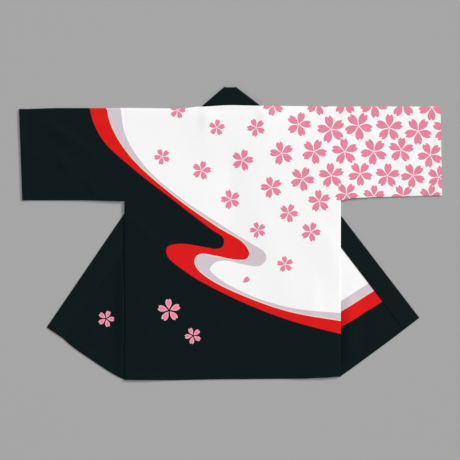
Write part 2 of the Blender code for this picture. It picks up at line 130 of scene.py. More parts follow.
# The outline as laid: shoulder line, hem and underarm seams, left to right
OutlinePoint = namedtuple("OutlinePoint", "x y")
SHOULDER_LINE = [
    OutlinePoint(-620.0, 365.0),
    OutlinePoint(-500.0, 368.0),
    OutlinePoint(-311.0, 368.0),
    OutlinePoint(-146.0, 366.5),
    OutlinePoint(-85.0, 371.5),
    OutlinePoint(0.0, 375.5),
    OutlinePoint(88.0, 374.0),
    OutlinePoint(323.0, 372.5),
    OutlinePoint(616.0, 372.3),
]
HEM_LINE = [
    OutlinePoint(-311.0, -429.0),
    OutlinePoint(-182.0, -430.0),
    OutlinePoint(6.0, -427.0),
    OutlinePoint(195.0, -426.0),
    OutlinePoint(265.0, -423.0),
    OutlinePoint(323.0, -419.5),
]
UNDERARM_LINE = [
    OutlinePoint(-610.4, 97.1),
    OutlinePoint(-440.0, 97.1),
    OutlinePoint(-311.0, 94.5),
    OutlinePoint(323.0, 97.5),
    OutlinePoint(365.0, 104.0),
    OutlinePoint(440.0, 106.8),
    OutlinePoint(620.0, 111.0),
]
COLLAR_TOP = 428.9  # top edge of the collar behind the neck

# Each side as laid. sign: -1 left, 1 right. side: centre to side seam. cuff_top and
# cuff_low: centre to the cuff's two corners. opened: the opened front's hem, collar
# included. swing: how far that hem has turned, degrees. lean: the collar edge's angle
# from upright, degrees. neck: centre to the neck point. crown: centre to the corner of
# the collar's top edge. turn_x, turn_y: where the collar edge turns under at the neck.
# bow: how far the opened hem curves out.
Side = namedtuple(
    "Side", "name sign side cuff_top cuff_low opened swing lean neck crown turn_x turn_y bow"
)
SIDES = [
    Side("left", -1, 311.0, 620.0, 610.4, 275.0, 33.9, 34.3, 85.0, 19.6, 14.0, 400.0, 6.3),
    Side("right", 1, 323.0, 615.3, 620.0, 288.0, 36.6, 37.5, 88.0, 17.0, 12.0, 400.0, 1.0),
]

# The cut of each piece, breadth and length, in metres, with its area where the cut
# isn't a rectangle. The collar's is that of the folded band.
Cut = namedtuple("Cut", "breadth length area")


# ---- The print, as the coat lies ----

INKS = ("black", "collar_black", "red", "cream", "lavender", "white", "pink", "pale_pink")
CREAM_LINE = 3.0  # between red and lavender
FRONT_CREAM_LINE = 1.5  # the same on the opened front
CURVE_STEPS = 12  # between two turns of the stream
KNOT_POWER = 0.5  # spaces a curve's knots so that it makes no loops
FOLD_CLEAR = 1.0  # edges of the print stop this far short of a front's fold
PRINT_MARGIN = 30.0  # a sleeve's print is followed this far past its edges
FAR = 900.0  # beyond the coat on every side

# The stream's three edges, charted to 5 mm from the shoulder to the right side seam.
# Each has ink on its upper right, up to the next edge.
Turn = namedtuple("Turn", "x y")
STREAM = {
    "red": [
        Turn(-410, 425), Turn(-410, 355), Turn(-375, 275), Turn(-285, 190), Turn(-170, 100),
        Turn(-60, 15), Turn(-20, -15), Turn(-25, -40), Turn(-45, -45), Turn(-75, -40),
        Turn(-150, -30), Turn(-185, -40), Turn(-185, -65), Turn(-120, -120), Turn(-60, -155),
        Turn(55, -210), Turn(175, -255), Turn(345, -300),
    ],
    "lavender": [
        Turn(-360, 425), Turn(-360, 350), Turn(-335, 285), Turn(-280, 210), Turn(-160, 105),
        Turn(-40, 20), Turn(40, -30), Turn(55, -60), Turn(45, -75), Turn(5, -75),
        Turn(-45, -65), Turn(-90, -60), Turn(-105, -75), Turn(-100, -100), Turn(-60, -135),
        Turn(55, -190), Turn(175, -230), Turn(345, -260),
    ],
    "white": [
        Turn(-325, 425), Turn(-320, 350), Turn(-305, 280), Turn(-240, 185), Turn(-140, 100),
        Turn(-50, 40), Turn(20, -5), Turn(70, -35), Turn(100, -55), Turn(105, -75),
        Turn(85, -95), Turn(35, -90), Turn(-10, -80), Turn(-45, -85), Turn(-60, -105),
        Turn(-30, -135), Turn(55, -180), Turn(110, -200), Turn(190, -220), Turn(345, -235),
    ],
}

# The same stream where it runs on over the opened right front
FlapEdge = namedtuple("FlapEdge", "ink x y x_end y_end")
FLAP_STREAM = [
    FlapEdge("red", 290.0, -295.0, 470.0, -185.0),
    FlapEdge("lavender", 290.0, -250.0, 450.0, -150.0),
    FlapEdge("white", 290.0, -220.0, 430.0, -130.0),
]

# Blossoms: centre, breadth, and how far each is turned, degrees
Blossom = namedtuple("Blossom", "x y across turn")
BLOSSOMS = [
    Blossom(-155, 360, 48, 5), Blossom(125, 375, 62, 41), Blossom(255, 380, 68, 0),
    Blossom(335, 385, 76, 20), Blossom(420, 380, 82, 62), Blossom(505, 380, 80, 21),
    Blossom(590, 370, 78, 52),
    Blossom(-40, 310, 48, 11), Blossom(75, 310, 54, 42), Blossom(200, 320, 72, 1),
    Blossom(295, 305, 82, 32), Blossom(375, 315, 82, 60), Blossom(465, 310, 80, 15),
    Blossom(550, 300, 80, 53), Blossom(630, 305, 76, 12),
    Blossom(-200, 225, 48, 43), Blossom(35, 215, 64, 2), Blossom(150, 235, 70, 33),
    Blossom(245, 240, 74, 64), Blossom(335, 240, 78, 23), Blossom(420, 240, 78, 47),
    Blossom(500, 245, 74, 13), Blossom(585, 230, 74, 44),
    Blossom(-85, 185, 56, 3), Blossom(120, 135, 64, 34), Blossom(210, 160, 72, 65),
    Blossom(295, 170, 74, 24), Blossom(380, 175, 72, 55), Blossom(460, 170, 72, 14),
    Blossom(535, 170, 72, 45), Blossom(610, 165, 68, 4),
    Blossom(0, 100, 58, 35), Blossom(170, 60, 56, 66), Blossom(260, 95, 66, 25),
    Blossom(340, 115, 68, 56), Blossom(420, 110, 64, 15), Blossom(505, 110, 66, 46),
    Blossom(585, 110, 64, 5),
    Blossom(80, 10, 48, 36), Blossom(235, 5, 58, 67), Blossom(160, -90, 48, 26),
]
FALLEN_PETAL = Blossom(35, -145, 51, 38)

# On black the petals are slimmer, so that black shows between them, with a paler rim
BLACK_BLOSSOMS = [Blossom(-180, -225, 70, 22), Blossom(-110, -300, 51, 42)]
FLAP_BLOSSOMS = [Blossom(-365, -250, 51, 69)]
RIMMED_PETAL = 0.88  # size of such a petal
PETAL_HEART = 0.6  # size of its deeper middle
PETAL_MIDDLE = 0.58  # where that middle is, in shares of the blossom's radius

# One side of a petal, foot to notch, in shares of the blossom's radius
PetalPoint = namedtuple("PetalPoint", "out beside")
PETAL = [
    PetalPoint(0.03, 0.0),
    PetalPoint(0.19, 0.10),
    PetalPoint(0.38, 0.22),
    PetalPoint(0.60, 0.29),
    PetalPoint(0.80, 0.275),
    PetalPoint(0.92, 0.215),
    PetalPoint(1.00, 0.13),
    PetalPoint(0.86, 0.0),
]
PETALS = 5
PETAL_STEPS = 4  # between two points of a petal


# ---- Creases: soft ridges from one point to another, each with its breadth to the left
# and to the right of that way ----

Crease = namedtuple("Crease", "x y x_end y_end rise left right")
CREASES = [
    Crease(-556.0, 336.0, -412.0, 240.0, 4.2, 14.0, 22.0),
    Crease(-528.0, 248.0, -466.0, 182.0, 3.4, 16.0, 14.0),
    Crease(-600.0, 240.0, -500.0, 205.0, 1.5, 12.0, 12.0),
    Crease(-421.0, 165.0, -394.0, 112.0, 2.6, 6.0, 9.0),
    Crease(-450.0, 330.0, -345.0, 318.0, 1.4, 14.0, 10.0),
    Crease(-68.0, 402.0, -78.0, 290.0, 2.6, 36.0, 15.0),
    Crease(98.0, 400.0, 90.0, 318.0, 2.4, 26.0, 10.0),
    Crease(240.0, 60.0, 312.0, -60.0, 0.6, 15.0, 20.0),
    Crease(-300.0, 60.0, -215.0, -30.0, 1.8, 13.0, 18.0),
    Crease(-262.0, -120.0, -240.0, -330.0, 1.4, 16.0, 24.0),
    Crease(250.0, -150.0, 232.0, -350.0, 1.4, 16.0, 24.0),
    Crease(-60.0, -200.0, 20.0, -380.0, 1.0, 18.0, 26.0),
    Crease(350.0, 320.0, 470.0, 262.0, 1.3, 10.0, 18.0),
    Crease(480.0, 220.0, 600.0, 190.0, 1.2, 10.0, 16.0),
    Crease(340.0, 130.0, 440.0, 150.0, 1.1, 12.0, 12.0),
]
FLAP_CREASES = [
    Crease(-315.0, -50.0, -315.0, -412.0, 8.0, 15.0, 18.0),
    Crease(-430.0, -190.0, -395.0, -330.0, 1.4, 14.0, 18.0),
    Crease(350.0, -180.0, 349.0, -405.0, 7.0, 30.0, 17.0),
    Crease(400.0, -150.0, 430.0, -300.0, 1.3, 14.0, 20.0),
]
EDGE_FADE = 26.0  # creases die out this close to an edge
END_RISE = 0.08  # share of half a wave that a crease has already risen at its ends
FREE_OF_SIDE = 1.0  # an opened front lies flat until it is this far past the side
FREE_RISE = 2.5  # and has its full relief after this much more

# Slow waves that cloth keeps however flat it is laid
SLACK = 0.35  # half of their height
SLACK_ACROSS = (61.0, 143.0)  # radians turn over these distances in X
SLACK_ALONG = (97.0, 71.0)  # and over these in Y
SLACK_SHIFT = 1.1  # radians between the two


# ---- Collar, sewing and finish ----

LEG_RIBS = 110  # along the collar on an opened front
TURN_RIBS = 12  # beside the neck
NECK_RIBS = 30  # behind the neck
COLLAR_RIB = 9  # points across the band
COLLAR_CROWN = 0.3  # how far the doubled band is puffed
CROWN_FULLNESS = 0.5  # exponent; the lower, the flatter the band's middle
COLLAR_EDGE = 0.6  # rounding of its edges
COLLAR_EDGE_STEPS = 2
COLLAR_EDGE_ANGLE = math.radians(60)  # edges sharper than this are rounded

HEM_DEPTH = 18.0  # of the turned-up hems and cuffs
HEM_RISE = 0.5  # the turned-up hem beneath lifts the cloth this much
HEM_STEP = 3.0  # and ends over this distance
GROOVE = 0.35  # depth of the dip along a sewn armhole
GROOVE_WIDTH = 3.0  # to either side
GROOVE_END = 2.0  # it ends this far short of the shoulder
GROOVE_LINES = (1.5, 3.0, 5.0)  # lines of points this far beside it make it clean
SEAM_FADE = 8.0  # steps over hems and allowances die out this close to a side
NECK_ALLOWANCE = 9.0  # depth of the seam allowance turned down beneath the back's neck
STITCH_INSET = 1.5  # a hem's stitching from its turned-up edge
TOPSTITCH = 3.0  # the collar's stitching from its seam
STITCH_FOLLOW = 3.0  # spacing of the points that stitching follows
SEAM_CLEAR = 3.0  # stitching and hem edges stop this far short of a seam
DROP_FROM = 20.0  # stitching is dropped onto the cloth from this far above the coat

WRONG_SIDE_PALING = 0.3  # share of white in the print on the cloth's wrong side
SHARP = math.radians(40)  # edges sharper than this are shaded as edges
WAVE_TURN = 20.0  # radians that a wave texture of scale 1 runs through in a metre

# The stage, in metres. Both lights face the coat's middle; the camera looks straight down.
FLOOR_Z = -0.0003
SOFTBOX_PLACE = (0.0, 0.0, 5.0)
WINDOW_PLACE = (4.0, 3.0, 2.33)
WORLD_LIGHT = 0.35  # strength of the light from all round
CAMERA_X, CAMERA_Y = -0.0015, 0.0103  # close to the coat's middle
CAMERA_LENS = 70.0  # millimetres


# ---- Lines and outlines ----


def along(table, x):
    """Height of an outline at x, with soft waves between its points."""
    xs = np.array([row.x for row in table])
    ys = np.array([row.y for row in table])
    x = np.clip(x, xs[0], xs[-1])
    i = np.clip(np.searchsorted(xs, x) - 1, 0, len(xs) - 2)
    t = (x - xs[i]) / (xs[i + 1] - xs[i])
    return ys[i] + (ys[i + 1] - ys[i]) * t * t * (3 - 2 * t)


def outline_run(table, x_from, x_to, drop=0.0, step=GRID):
    """Points along an outline table between two places across the coat."""
    xs = np.linspace(x_from, x_to, math.ceil(abs(x_to - x_from) / step) + 1)
    return np.stack([xs, along(table, xs) - drop], axis=1)


def unit(vector):
    """The vector at length 1."""
    return vector / np.linalg.norm(vector)


def left_of(way):
    """A way, or each of several, turned a quarter to its left."""
    return np.stack([-way[..., 1], way[..., 0]], axis=-1)


def between(start, end, share):
    """What lies at a share of the way from start to end."""
    return start + share * (end - start)


def closed(outline):
    """The outline with its first point repeated at its end."""
    return np.vstack([outline, outline[:1]])


def split(line, step):
    """A line's points with more between them, none further apart than step."""
    made = [line[0]]
    for start, end in zip(line[:-1], line[1:]):
        pieces = max(1, math.ceil(np.linalg.norm(end - start) / step))
        made += [start + (end - start) * k / pieces for k in range(1, pieces + 1)]
    return np.array(made)


def arc_bend(start, middle, end):
    """A quadratic curve from start to end that leaves start towards middle."""
    t = np.linspace(0, 1, BEND_STEPS + 1)[:, None]
    return (1 - t) ** 2 * start + 2 * t * (1 - t) * middle + t * t * end


def bowed(start, end, bow):
    """A line from start to end that curves out to its right by the bow."""
    t = np.linspace(0, 1, BEND_STEPS + 1)[:, None]
    right = -left_of(unit(end - start))
    return between(start, end, t) + bow * (1 - (2 * t - 1) ** BOW_FULLNESS) * right


def offset(line, distance):
    """The line moved sideways, to its left for a positive distance."""
    run = np.gradient(line, axis=0)
    run /= np.linalg.norm(run, axis=1)[:, None]
    return line + distance * left_of(run)


def crossing(line, origin, direction):
    """Where a polyline first crosses a straight line, and the polyline up to there."""
    side = (line - origin) @ left_of(direction)
    k = int(np.argmax(side[:-1] * side[1:] <= 0))
    point = between(line[k], line[k + 1], side[k] / (side[k] - side[k + 1]))
    return point, np.vstack([line[: k + 1], point])


def at_shares(line, count):
    """count + 1 points at even shares of a line's length."""
    steps = np.linalg.norm(np.diff(line, axis=0), axis=1)
    length = np.concatenate([[0], np.cumsum(steps)])
    marks = np.linspace(0, length[-1], count + 1)
    return np.stack([np.interp(marks, length, line[:, k]) for k in range(2)], axis=1)


def line_distance(points, line):
    """Distance from each point to a line."""
    start, run = line[:-1], np.diff(line, axis=0)
    rel = points[:, None, :] - start
    t = np.clip((rel * run).sum(2) / (run * run).sum(1), 0, 1)
    return np.linalg.norm(rel - t[:, :, None] * run, axis=2).min(1)


def distance_outside(points, outline):
    """How far each point lies outside a closed outline, 0 inside it."""
    start, end = outline, np.roll(outline, -1, axis=0)
    run = end - start
    px, py = points[:, 0:1], points[:, 1:2]
    spans = (start[:, 1] > py) != (end[:, 1] > py)
    rise = np.where(run[:, 1] == 0, 1, run[:, 1])
    hits = spans & (px < start[:, 0] + (py - start[:, 1]) / rise * run[:, 0])
    return np.where(hits.sum(1) % 2 == 1, 0.0, line_distance(points, closed(outline)))


def within(points, outline):
    """Which points lie inside a closed outline."""
    low, high = outline.min(0), outline.max(0)
    found = np.zeros(len(points), bool)
    close = np.flatnonzero(((points >= low) & (points <= high)).all(1))
    if len(close):
        found[close] = distance_outside(points[close], outline) == 0
    return found


def kept_runs(line, keep):
    """The stretches of a line whose points are all kept."""
    breaks = np.flatnonzero(np.diff(keep.astype(int))) + 1
    runs = np.split(np.arange(len(line)), breaks)
    return [line[run] for run in runs if keep[run[0]] and len(run) > 1]


def smooth(share):
    """A share from 0 to 1 that leaves and arrives softly."""
    share = np.clip(share, 0, 1)
    return share * share * (3 - 2 * share)


# ---- The plan of each side, in outward coordinates: x grows from the centre line ----


class Plan:
    """Outlines of one side's pieces as they lie, seen from above."""

    def __init__(self, side):
        """Works out the corners and edges that the outlines share."""
        self.side = side
        self.mirror = np.array([side.sign, 1])
        swing, lean = math.radians(side.swing), math.radians(side.lean)
        hem_way = np.array([math.cos(swing), math.sin(swing)])
        edge_way = np.array([-math.sin(lean), math.cos(lean)])
        self.seam_x = side.side - HALF_REACH
        self.corner = np.array([side.side - HEM_INSET, self.hem(side.side)])
        self.fold_foot = np.array([self.seam_x - FOLD_INSET, self.hem(side.side) + HEM_INSET / 2])
        self.fold_top = np.array([side.turn_x, side.turn_y])
        self.free_corner = self.corner + (side.opened + HEM_INSET) * hem_way
        self.fold_way = unit(self.fold_top - self.fold_foot)
        self.fold_out = left_of(self.fold_way)

        reach = (self.free_corner[0] - side.side) / math.sin(lean)
        crossing_point = self.free_corner + reach * edge_way
        span = np.linalg.norm(self.fold_top - crossing_point)
        bend = arc_bend(crossing_point, crossing_point + edge_way * span / 2, self.fold_top)
        straight = np.array([self.free_corner, crossing_point])
        self.free_edge = np.vstack([split(straight, COLLAR_WIDTH), bend[1:]])
        straight_on = self.free_edge[-1] + COLLAR_WIDTH * unit(bend[-1] - bend[-2])
        longer = np.vstack([self.free_edge, straight_on])
        seam = offset(longer, COLLAR_WIDTH)
        self.seam_foot, self.collar_seam = crossing(seam, self.fold_foot, self.fold_way)
        panel_line = offset(longer, COLLAR_WIDTH + SEAM_LINE)
        _, self.panel_seam = crossing(panel_line, self.fold_foot, self.fold_way)
        self.open_hem = bowed(self.corner, self.panel_seam[0], side.bow)

        slope = unit(np.array([side.crown - side.neck, COLLAR_TOP - self.shoulder(side.neck)]))
        self.crown_out = -left_of(slope)
        neck_x = side.neck - COLLAR_REACH / slope[1]
        self.neck_point = np.array([neck_x, self.shoulder(neck_x) + SEAM_GAP])
        crown_x = side.crown - COLLAR_REACH / slope[1]
        self.crown = np.array([crown_x, COLLAR_TOP - CROWN_DROP])

    def shoulder(self, x):
        """Height of the shoulder line at a distance from the centre."""
        return along(SHOULDER_LINE, self.side.sign * x)

    def hem(self, x):
        """Height of the hem at a distance from the centre."""
        return along(HEM_LINE, self.side.sign * x)

    def underarm(self, x):
        """Height of the underarm line at a distance from the centre."""
        return along(UNDERARM_LINE, self.side.sign * x)

    def line_at(self, height, x_from, x_to, drop=0.0):
        """Points along an outline between two distances from the centre."""
        xs = np.linspace(x_from, x_to, max(2, math.ceil(abs(x_to - x_from) / GRID) + 1))
        return np.stack([xs, height(xs) - drop], axis=1)

    def leg(self):
        """The collar along the opened front."""
        return np.vstack([self.free_edge, self.collar_seam[::-1]])

    def flap(self):
        """The opened front without its collar, from the fold's foot round to its top."""
        return np.vstack([self.fold_foot, self.open_hem[:-1], self.panel_seam])

    def turn(self):
        """The collar's turn, between its two folds beside the neck."""
        return np.array([self.seam_foot, self.fold_top, self.crown, self.neck_point])

    def under(self):
        """What stays under the back of each front, up to the side and shoulder seams."""
        neck_edge = self.neck_edge()
        shoulder = self.line_at(self.shoulder, self.seam_x, neck_edge[0][0], HALF_REACH)
        side = np.array([[self.seam_x, self.hem(self.seam_x)]])
        return np.vstack([self.fold_foot, side, shoulder, neck_edge, self.panel_seam[-1]])

    def neck_edge(self):
        """The front's own edge beside the collar's turn, from the shoulder down."""
        way = unit(self.seam_foot - self.neck_point)
        aside = left_of(way) * SEAM_GAP
        top = self.neck_point + aside + np.array([NECK_SLACK, -NECK_DROP])
        low = self.seam_foot + aside - NECK_CLEAR * way
        return np.array([top, low])

    def sleeve(self):
        """Either layer of the sleeve."""
        inner = self.seam_x + SEAM_LINE
        top = self.line_at(self.shoulder, inner, self.side.cuff_top)
        low = self.line_at(self.underarm, self.side.cuff_low, inner)
        return np.vstack([top, low])

    def outer_lines(self):
        """The coat's own outline on this side: shoulder, underarm and side seam."""
        pit = [self.seam_x, self.underarm(self.seam_x)]
        foot = [self.seam_x, self.hem(self.seam_x)]
        shoulder = self.line_at(self.shoulder, 0.0, self.side.cuff_top, HALF_REACH)
        underarm = self.line_at(self.underarm, self.seam_x, self.side.cuff_low)
        return [self.world(line) for line in (shoulder, underarm, np.array([pit, foot]))]

    def hem_above(self, distance):
        """The opened front's hem line moved up into its cloth."""
        return self.open_hem + distance * left_of(unit(self.open_hem[-1] - self.open_hem[0]))

    def uprights(self, distances):
        """Upright lines on the opened front, at distances past the side."""
        shape = self.flap()
        low, high = shape[:, 1].min(), shape[:, 1].max()
        lines = []
        for past in distances:
            x = self.side.side + past
            line = split(np.array([[x, low], [x, high]]), GRID)
            clear = within(line, shape) & (line_distance(line, closed(shape)) > SEAM_CLEAR)
            lines += kept_runs(line, clear)
        return lines

    def world(self, outline):
        """An outline moved from outward coordinates to its own side."""
        return outline * self.mirror


PLANS = [Plan(side) for side in SIDES]


# ---- Heights of the three levels ----


def ramp(distance):
    """Share of its height that cloth keeps at a distance past the edge beneath it."""
    t = np.clip((distance - LEVEL) / DRAPE, 0, 1)
    return 0.5 + 0.5 * np.cos(math.pi * t)


def lift(points, layers, beneath):
    """Height of cloth that settles over layers, each an outline and a wall."""
    total = np.zeros(len(points))
    for outline, wall in layers:
        top = beneath(points) + wall + AIR
        total += (top * ramp(distance_outside(points, outline))) ** SOFTNESS
    return total ** (1 / SOFTNESS)


FIRST_LAYERS = [
    (plan.world(outline), wall)
    for plan in PLANS
    for outline, wall in ((plan.leg(), COLLAR), (plan.flap(), CLOTH))
]
SECOND_LAYERS = [
    (plan.world(outline), wall)
    for plan in PLANS
    for outline, wall in ((plan.turn(), COLLAR), (plan.under(), CLOTH), (plan.sleeve(), CLOTH))
]


def first_level(points):
    """The surface that the coat lies on."""
    return np.zeros(len(points))


def second_level(points):
    """Top of the opened fronts and their collar, and the cloth's rest around them."""
    return lift(points, FIRST_LAYERS, first_level)


def third_level(points):
    """Top of what lies under the back, and the cloth's rest around it."""
    return lift(points, SECOND_LAYERS, second_level)


# ---- Shapes of the print ----


def through(rows, steps):
    """A smooth line through points, even where they stand unevenly."""
    points = np.array(rows, float)
    p = np.vstack([2 * points[0] - points[1], points, 2 * points[-1] - points[-2]])
    gaps = np.linalg.norm(np.diff(p, axis=0), axis=1) ** KNOT_POWER
    knots = np.concatenate([[0], np.cumsum(gaps)])

    def mix(start, end, low, high):
        """What lies at t on a straight run from knot low to knot high."""
        return between(start, end, (t - knots[low]) / (knots[high] - knots[low]))

    line = []
    for i in range(1, len(p) - 2):
        t = np.linspace(knots[i], knots[i + 1], steps, endpoint=False)[:, None]
        first = [mix(p[k], p[k + 1], k, k + 1) for k in (i - 1, i, i + 1)]
        second = [mix(first[k], first[k + 1], i + k - 1, i + k + 1) for k in (0, 1)]
        line.append(mix(second[0], second[1], i, i + 1))
    return np.vstack(line + [points[-1:]])


def petals(blossom, count=PETALS, size=1.0):
    """Outlines of a blossom's petals, each drawn in towards its own middle by the size."""
    half = through(PETAL, PETAL_STEPS)
    middle = np.array([PETAL_MIDDLE, 0.0])
    petal = middle + (np.vstack([half, half[-2:0:-1] * [1, -1]]) - middle) * size
    made = []
    for k in range(count):
        angle = math.radians(blossom.turn + 360 / PETALS * k)
        out = np.array([math.cos(angle), math.sin(angle)])
        shape = petal[:, :1] * out + petal[:, 1:] * left_of(out)
        made.append(np.array([blossom.x, blossom.y]) + shape * blossom.across / 2)
    return made


def blossoms(table):
    """Areas of blossoms in one pink."""
    return [("pink", petal) for blossom in table for petal in petals(blossom)]


def rimmed_blossoms(table):
    """Areas of blossoms whose petals have a paler rim."""
    areas = []
    for blossom in table:
        areas += [("pale_pink", petal) for petal in petals(blossom, size=RIMMED_PETAL)]
        areas += [("pink", heart) for heart in petals(blossom, size=PETAL_HEART)]
    return areas


def beyond(line):
    """The outline of all that lies past an edge of the stream, up and to the right."""
    return np.vstack([line, [FAR, line[-1][1]], [FAR, FAR], [line[0][0], FAR]])


def stream_areas(edges, cream_line):
    """Inked areas between a stream's edges, each over the one before it."""
    return [
        ("red", beyond(edges["red"])),
        ("cream", beyond(edges["lavender"])),
        ("lavender", beyond(offset(edges["lavender"], cream_line))),
        ("white", beyond(edges["white"])),
    ]


def picture():
    """The print over the back and both sleeves."""
    edges = {ink: through(rows, CURVE_STEPS) for ink, rows in STREAM.items()}
    areas = stream_areas(edges, CREAM_LINE) + blossoms(BLOSSOMS) + rimmed_blossoms(BLACK_BLOSSOMS)
    return areas + [("pink", petals(FALLEN_PETAL, 1)[0])]


def flap_print():
    """The print over the opened fronts."""
    edges = {row.ink: np.array([[row.x, row.y], [row.x_end, row.y_end]]) for row in FLAP_STREAM}
    return stream_areas(edges, FRONT_CREAM_LINE) + rimmed_blossoms(FLAP_BLOSSOMS)


def ink_at(points, areas):
    """The ink at each point, the last area on top."""
    inks = np.zeros(len(points), int)
    for ink, outline in areas:
        inks[within(points, outline)] = INKS.index(ink)
    return inks


def print_lines(areas, low=-FAR, high=FAR):
    """Closed edges of the areas that reach into a box."""
    return [
        closed(outline)
        for _, outline in areas
        if (outline.max(0) > low).all() and (outline.min(0) < high).all()
    ]


# ---- Relief of the cloth ----


def ridge(points, crease):
    """Height of one crease, highest halfway along it."""
    start, end = np.array(crease[:2]), np.array(crease[2:4])
    run = end - start
    share = np.clip((points - start) @ run / (run @ run), 0, 1)
    off = points - start - share[:, None] * run
    on_left = run[0] * off[:, 1] - run[1] * off[:, 0] > 0
    aside = np.linalg.norm(off, axis=1) / np.where(on_left, crease.left, crease.right)
    rise = np.sin(math.pi * (END_RISE + (1 - 2 * END_RISE) * share))
    return crease.rise * np.exp(-(aside**2)) * rise


def slack(points):
    """Slow, shallow waves that cloth keeps however flat it is laid."""
    x, y = points[:, 0], points[:, 1]
    wave = np.sin(x / SLACK_ACROSS[0] + y / SLACK_ALONG[0])
    wave *= np.sin(y / SLACK_ALONG[1] - x / SLACK_ACROSS[1] + SLACK_SHIFT)
    return SLACK * (1 + wave)


def edge_distance(points):
    """Distance to the coat's own outline: shoulders, underarms and sides."""
    lines = [line for plan in PLANS for line in plan.outer_lines()]
    return np.min([line_distance(points, line) for line in lines], axis=0)


def relief(points, creases, distance, depth):
    """Height of creases and slack, dying out at the edges."""
    total = slack(points) + sum(ridge(points, crease) for crease in creases)
    return depth * smooth(distance / EDGE_FADE) * total


def hem_step(distance, depth):
    """Lift of cloth over its own turned-in edge, which reaches in to a depth."""
    return HEM_RISE * (1 - smooth((distance - depth) / HEM_STEP))


def groove(distance):
    """The dip where a sewn armhole draws the cloth in."""
    return -GROOVE * np.exp(-((distance / GROOVE_WIDTH) ** 2))


# ---- Making cloth ----


def in_scene(name, data):
    """A new object in the scene."""
    made = bpy.data.objects.new(name, data)
    bpy.context.scene.collection.objects.link(made)
    return made


def inner_points(outline, lines, step):
    """A lattice inside the outline, clear of it and of the lines."""
    low, high = outline.min(0), outline.max(0)
    xs = np.arange(low[0] + step / 2, high[0], step)
    ys = np.arange(low[1] + step / 2, high[1], step)
    lattice = np.array([(x, y) for x in xs for y in ys])
    lattice = lattice[within(lattice, outline)]
    marks = np.vstack([split(line, step / 2) for line in [closed(outline), *lines]])
    tree = KDTree(len(marks))
    for k, mark in enumerate(marks):
        tree.insert((*mark, 0.0), k)
    tree.balance()
    gaps = np.array([tree.find((*point, 0.0))[2] for point in lattice])
    return lattice[gaps > LATTICE_CLEAR * step]


def triangles(outline, lines, inks):
    """A flat cut divided into triangles whose edges follow the lines and the inks' edges.

    Gives the points, the triangles and their middles."""
    rim = split(closed(outline), GRID)[:-1]
    points = list(rim)
    edges = [(k, (k + 1) % len(rim)) for k in range(len(rim))]
    ruled = [split(line, GRID) for line in lines] + list(inks)
    for line in ruled:
        edges += [(len(points) + k, len(points) + k + 1) for k in range(len(line) - 1)]
        points += list(line)
    points += list(inner_points(outline, ruled, GRID))
    made = delaunay_2d_cdt([tuple(map(float, p)) for p in points], edges, [], 0, MERGE, False)
    cut = np.array([tuple(p) for p in made[0]])
    faces = np.array([tuple(face) for face in made[2]])
    corners = cut[faces]
    sides = np.roll(corners, -1, axis=1) - corners
    longest = np.linalg.norm(sides, axis=2).max(1)
    breadth = np.abs(np.cross(sides[:, 0], sides[:, 1])) / longest
    middles = corners.mean(1)
    kept = (breadth > SLIVER) & within(middles, outline)
    used, index = np.unique(faces[kept], return_inverse=True)
    return cut[used], index.reshape(-1, 3), middles[kept]


def facing_up(points, faces, upper):
    """The faces, all turned round where their upper ones look down."""
    corners = points[faces[upper]]
    normals = np.cross(corners[:, 1] - corners[:, 0], corners[:, 2] - corners[:, 0])
    return faces if normals[:, 2].sum() > 0 else faces[:, ::-1]


def cloth(name, points, faces, cut, inks, thickness, materials):
    """A cloth's middle surface with its print and its cut, and a modifier for its wall."""
    mesh = bpy.data.meshes.new(name)
    mesh.from_pydata((points * METRE).tolist(), [], faces.tolist())
    palette = np.array([ink_colour(ink) for ink in INKS])
    colours = np.repeat(palette[inks], faces.shape[1], axis=0)
    layer = mesh.color_attributes.new("print", "FLOAT_COLOR", "CORNER")
    layer.data.foreach_set("color", colours.ravel())
    uv = mesh.uv_layers.new(name="cut")
    uv.data.foreach_set("uv", (cut[faces.ravel()] * METRE).ravel())
    for material in materials:
        mesh.materials.append(material)
    raw = in_scene(name + "_raw", mesh)
    wall = raw.modifiers.new("Wall", "SOLIDIFY")
    wall.thickness = thickness * METRE
    wall.offset = 0.0
    wall.material_offset = len(materials) - 1
    return raw


def finished(name, raw):
    """A plain mesh object from one with modifiers."""
    graph = bpy.context.evaluated_depsgraph_get()
    mesh = bpy.data.meshes.new_from_object(raw.evaluated_get(graph))
    made = in_scene(name, mesh)
    bpy.data.objects.remove(raw)
    mesh.name = name
    mesh.shade_smooth()
    mesh.set_sharp_from_angle(angle=SHARP)
    return made


def panel(name, points, faces, cut, inks, settings):
    """A finished piece of single cloth."""
    return finished(name, cloth(name, points, faces, cut, inks, CLOTH, cloth_materials(settings)))


def declare(made, node):
    """Attaches a piece to the root body and hides the imported part that it stands for."""
    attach(made, "root")
    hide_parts(node)


def strips(line, way, width, steps):
    """Lines beside an edge that divide a turn's strip."""
    return [line + np.array(way) * width * k / steps for k in range(steps)]


def half_strips(line, way):
    """Lines beside an edge that divide a half turn's strip."""
    return strips(line, way, HALF_STRIP, HALF_STEPS)


def turn_strips(line):
    """Lines beside a fold that divide a full turn's strip, and the strip's far edge."""
    return strips(line, (0, 1), TURN_STRIP * (1 + 1 / TURN_STEPS), TURN_STEPS + 1)


def half_turn(past, radius):
    """Reach and drop of cloth that has gone a distance past its edge into a half turn."""
    step = past / HALF_STRIP * HALF_STEPS
    angle = np.clip(step / (HALF_STEPS - 1), 0, 1) * math.pi / 2
    tail = TAIL * np.clip(step - (HALF_STEPS - 1), 0, 1)
    return radius * np.sin(angle), radius * (1 - np.cos(angle)) + tail


def seam_radius(under, over):
    """Radius of the half turns of two layers whose edges meet between them."""
    return (over - under - SEAM_GAP) / 2 - TAIL


# ---- Pieces ----


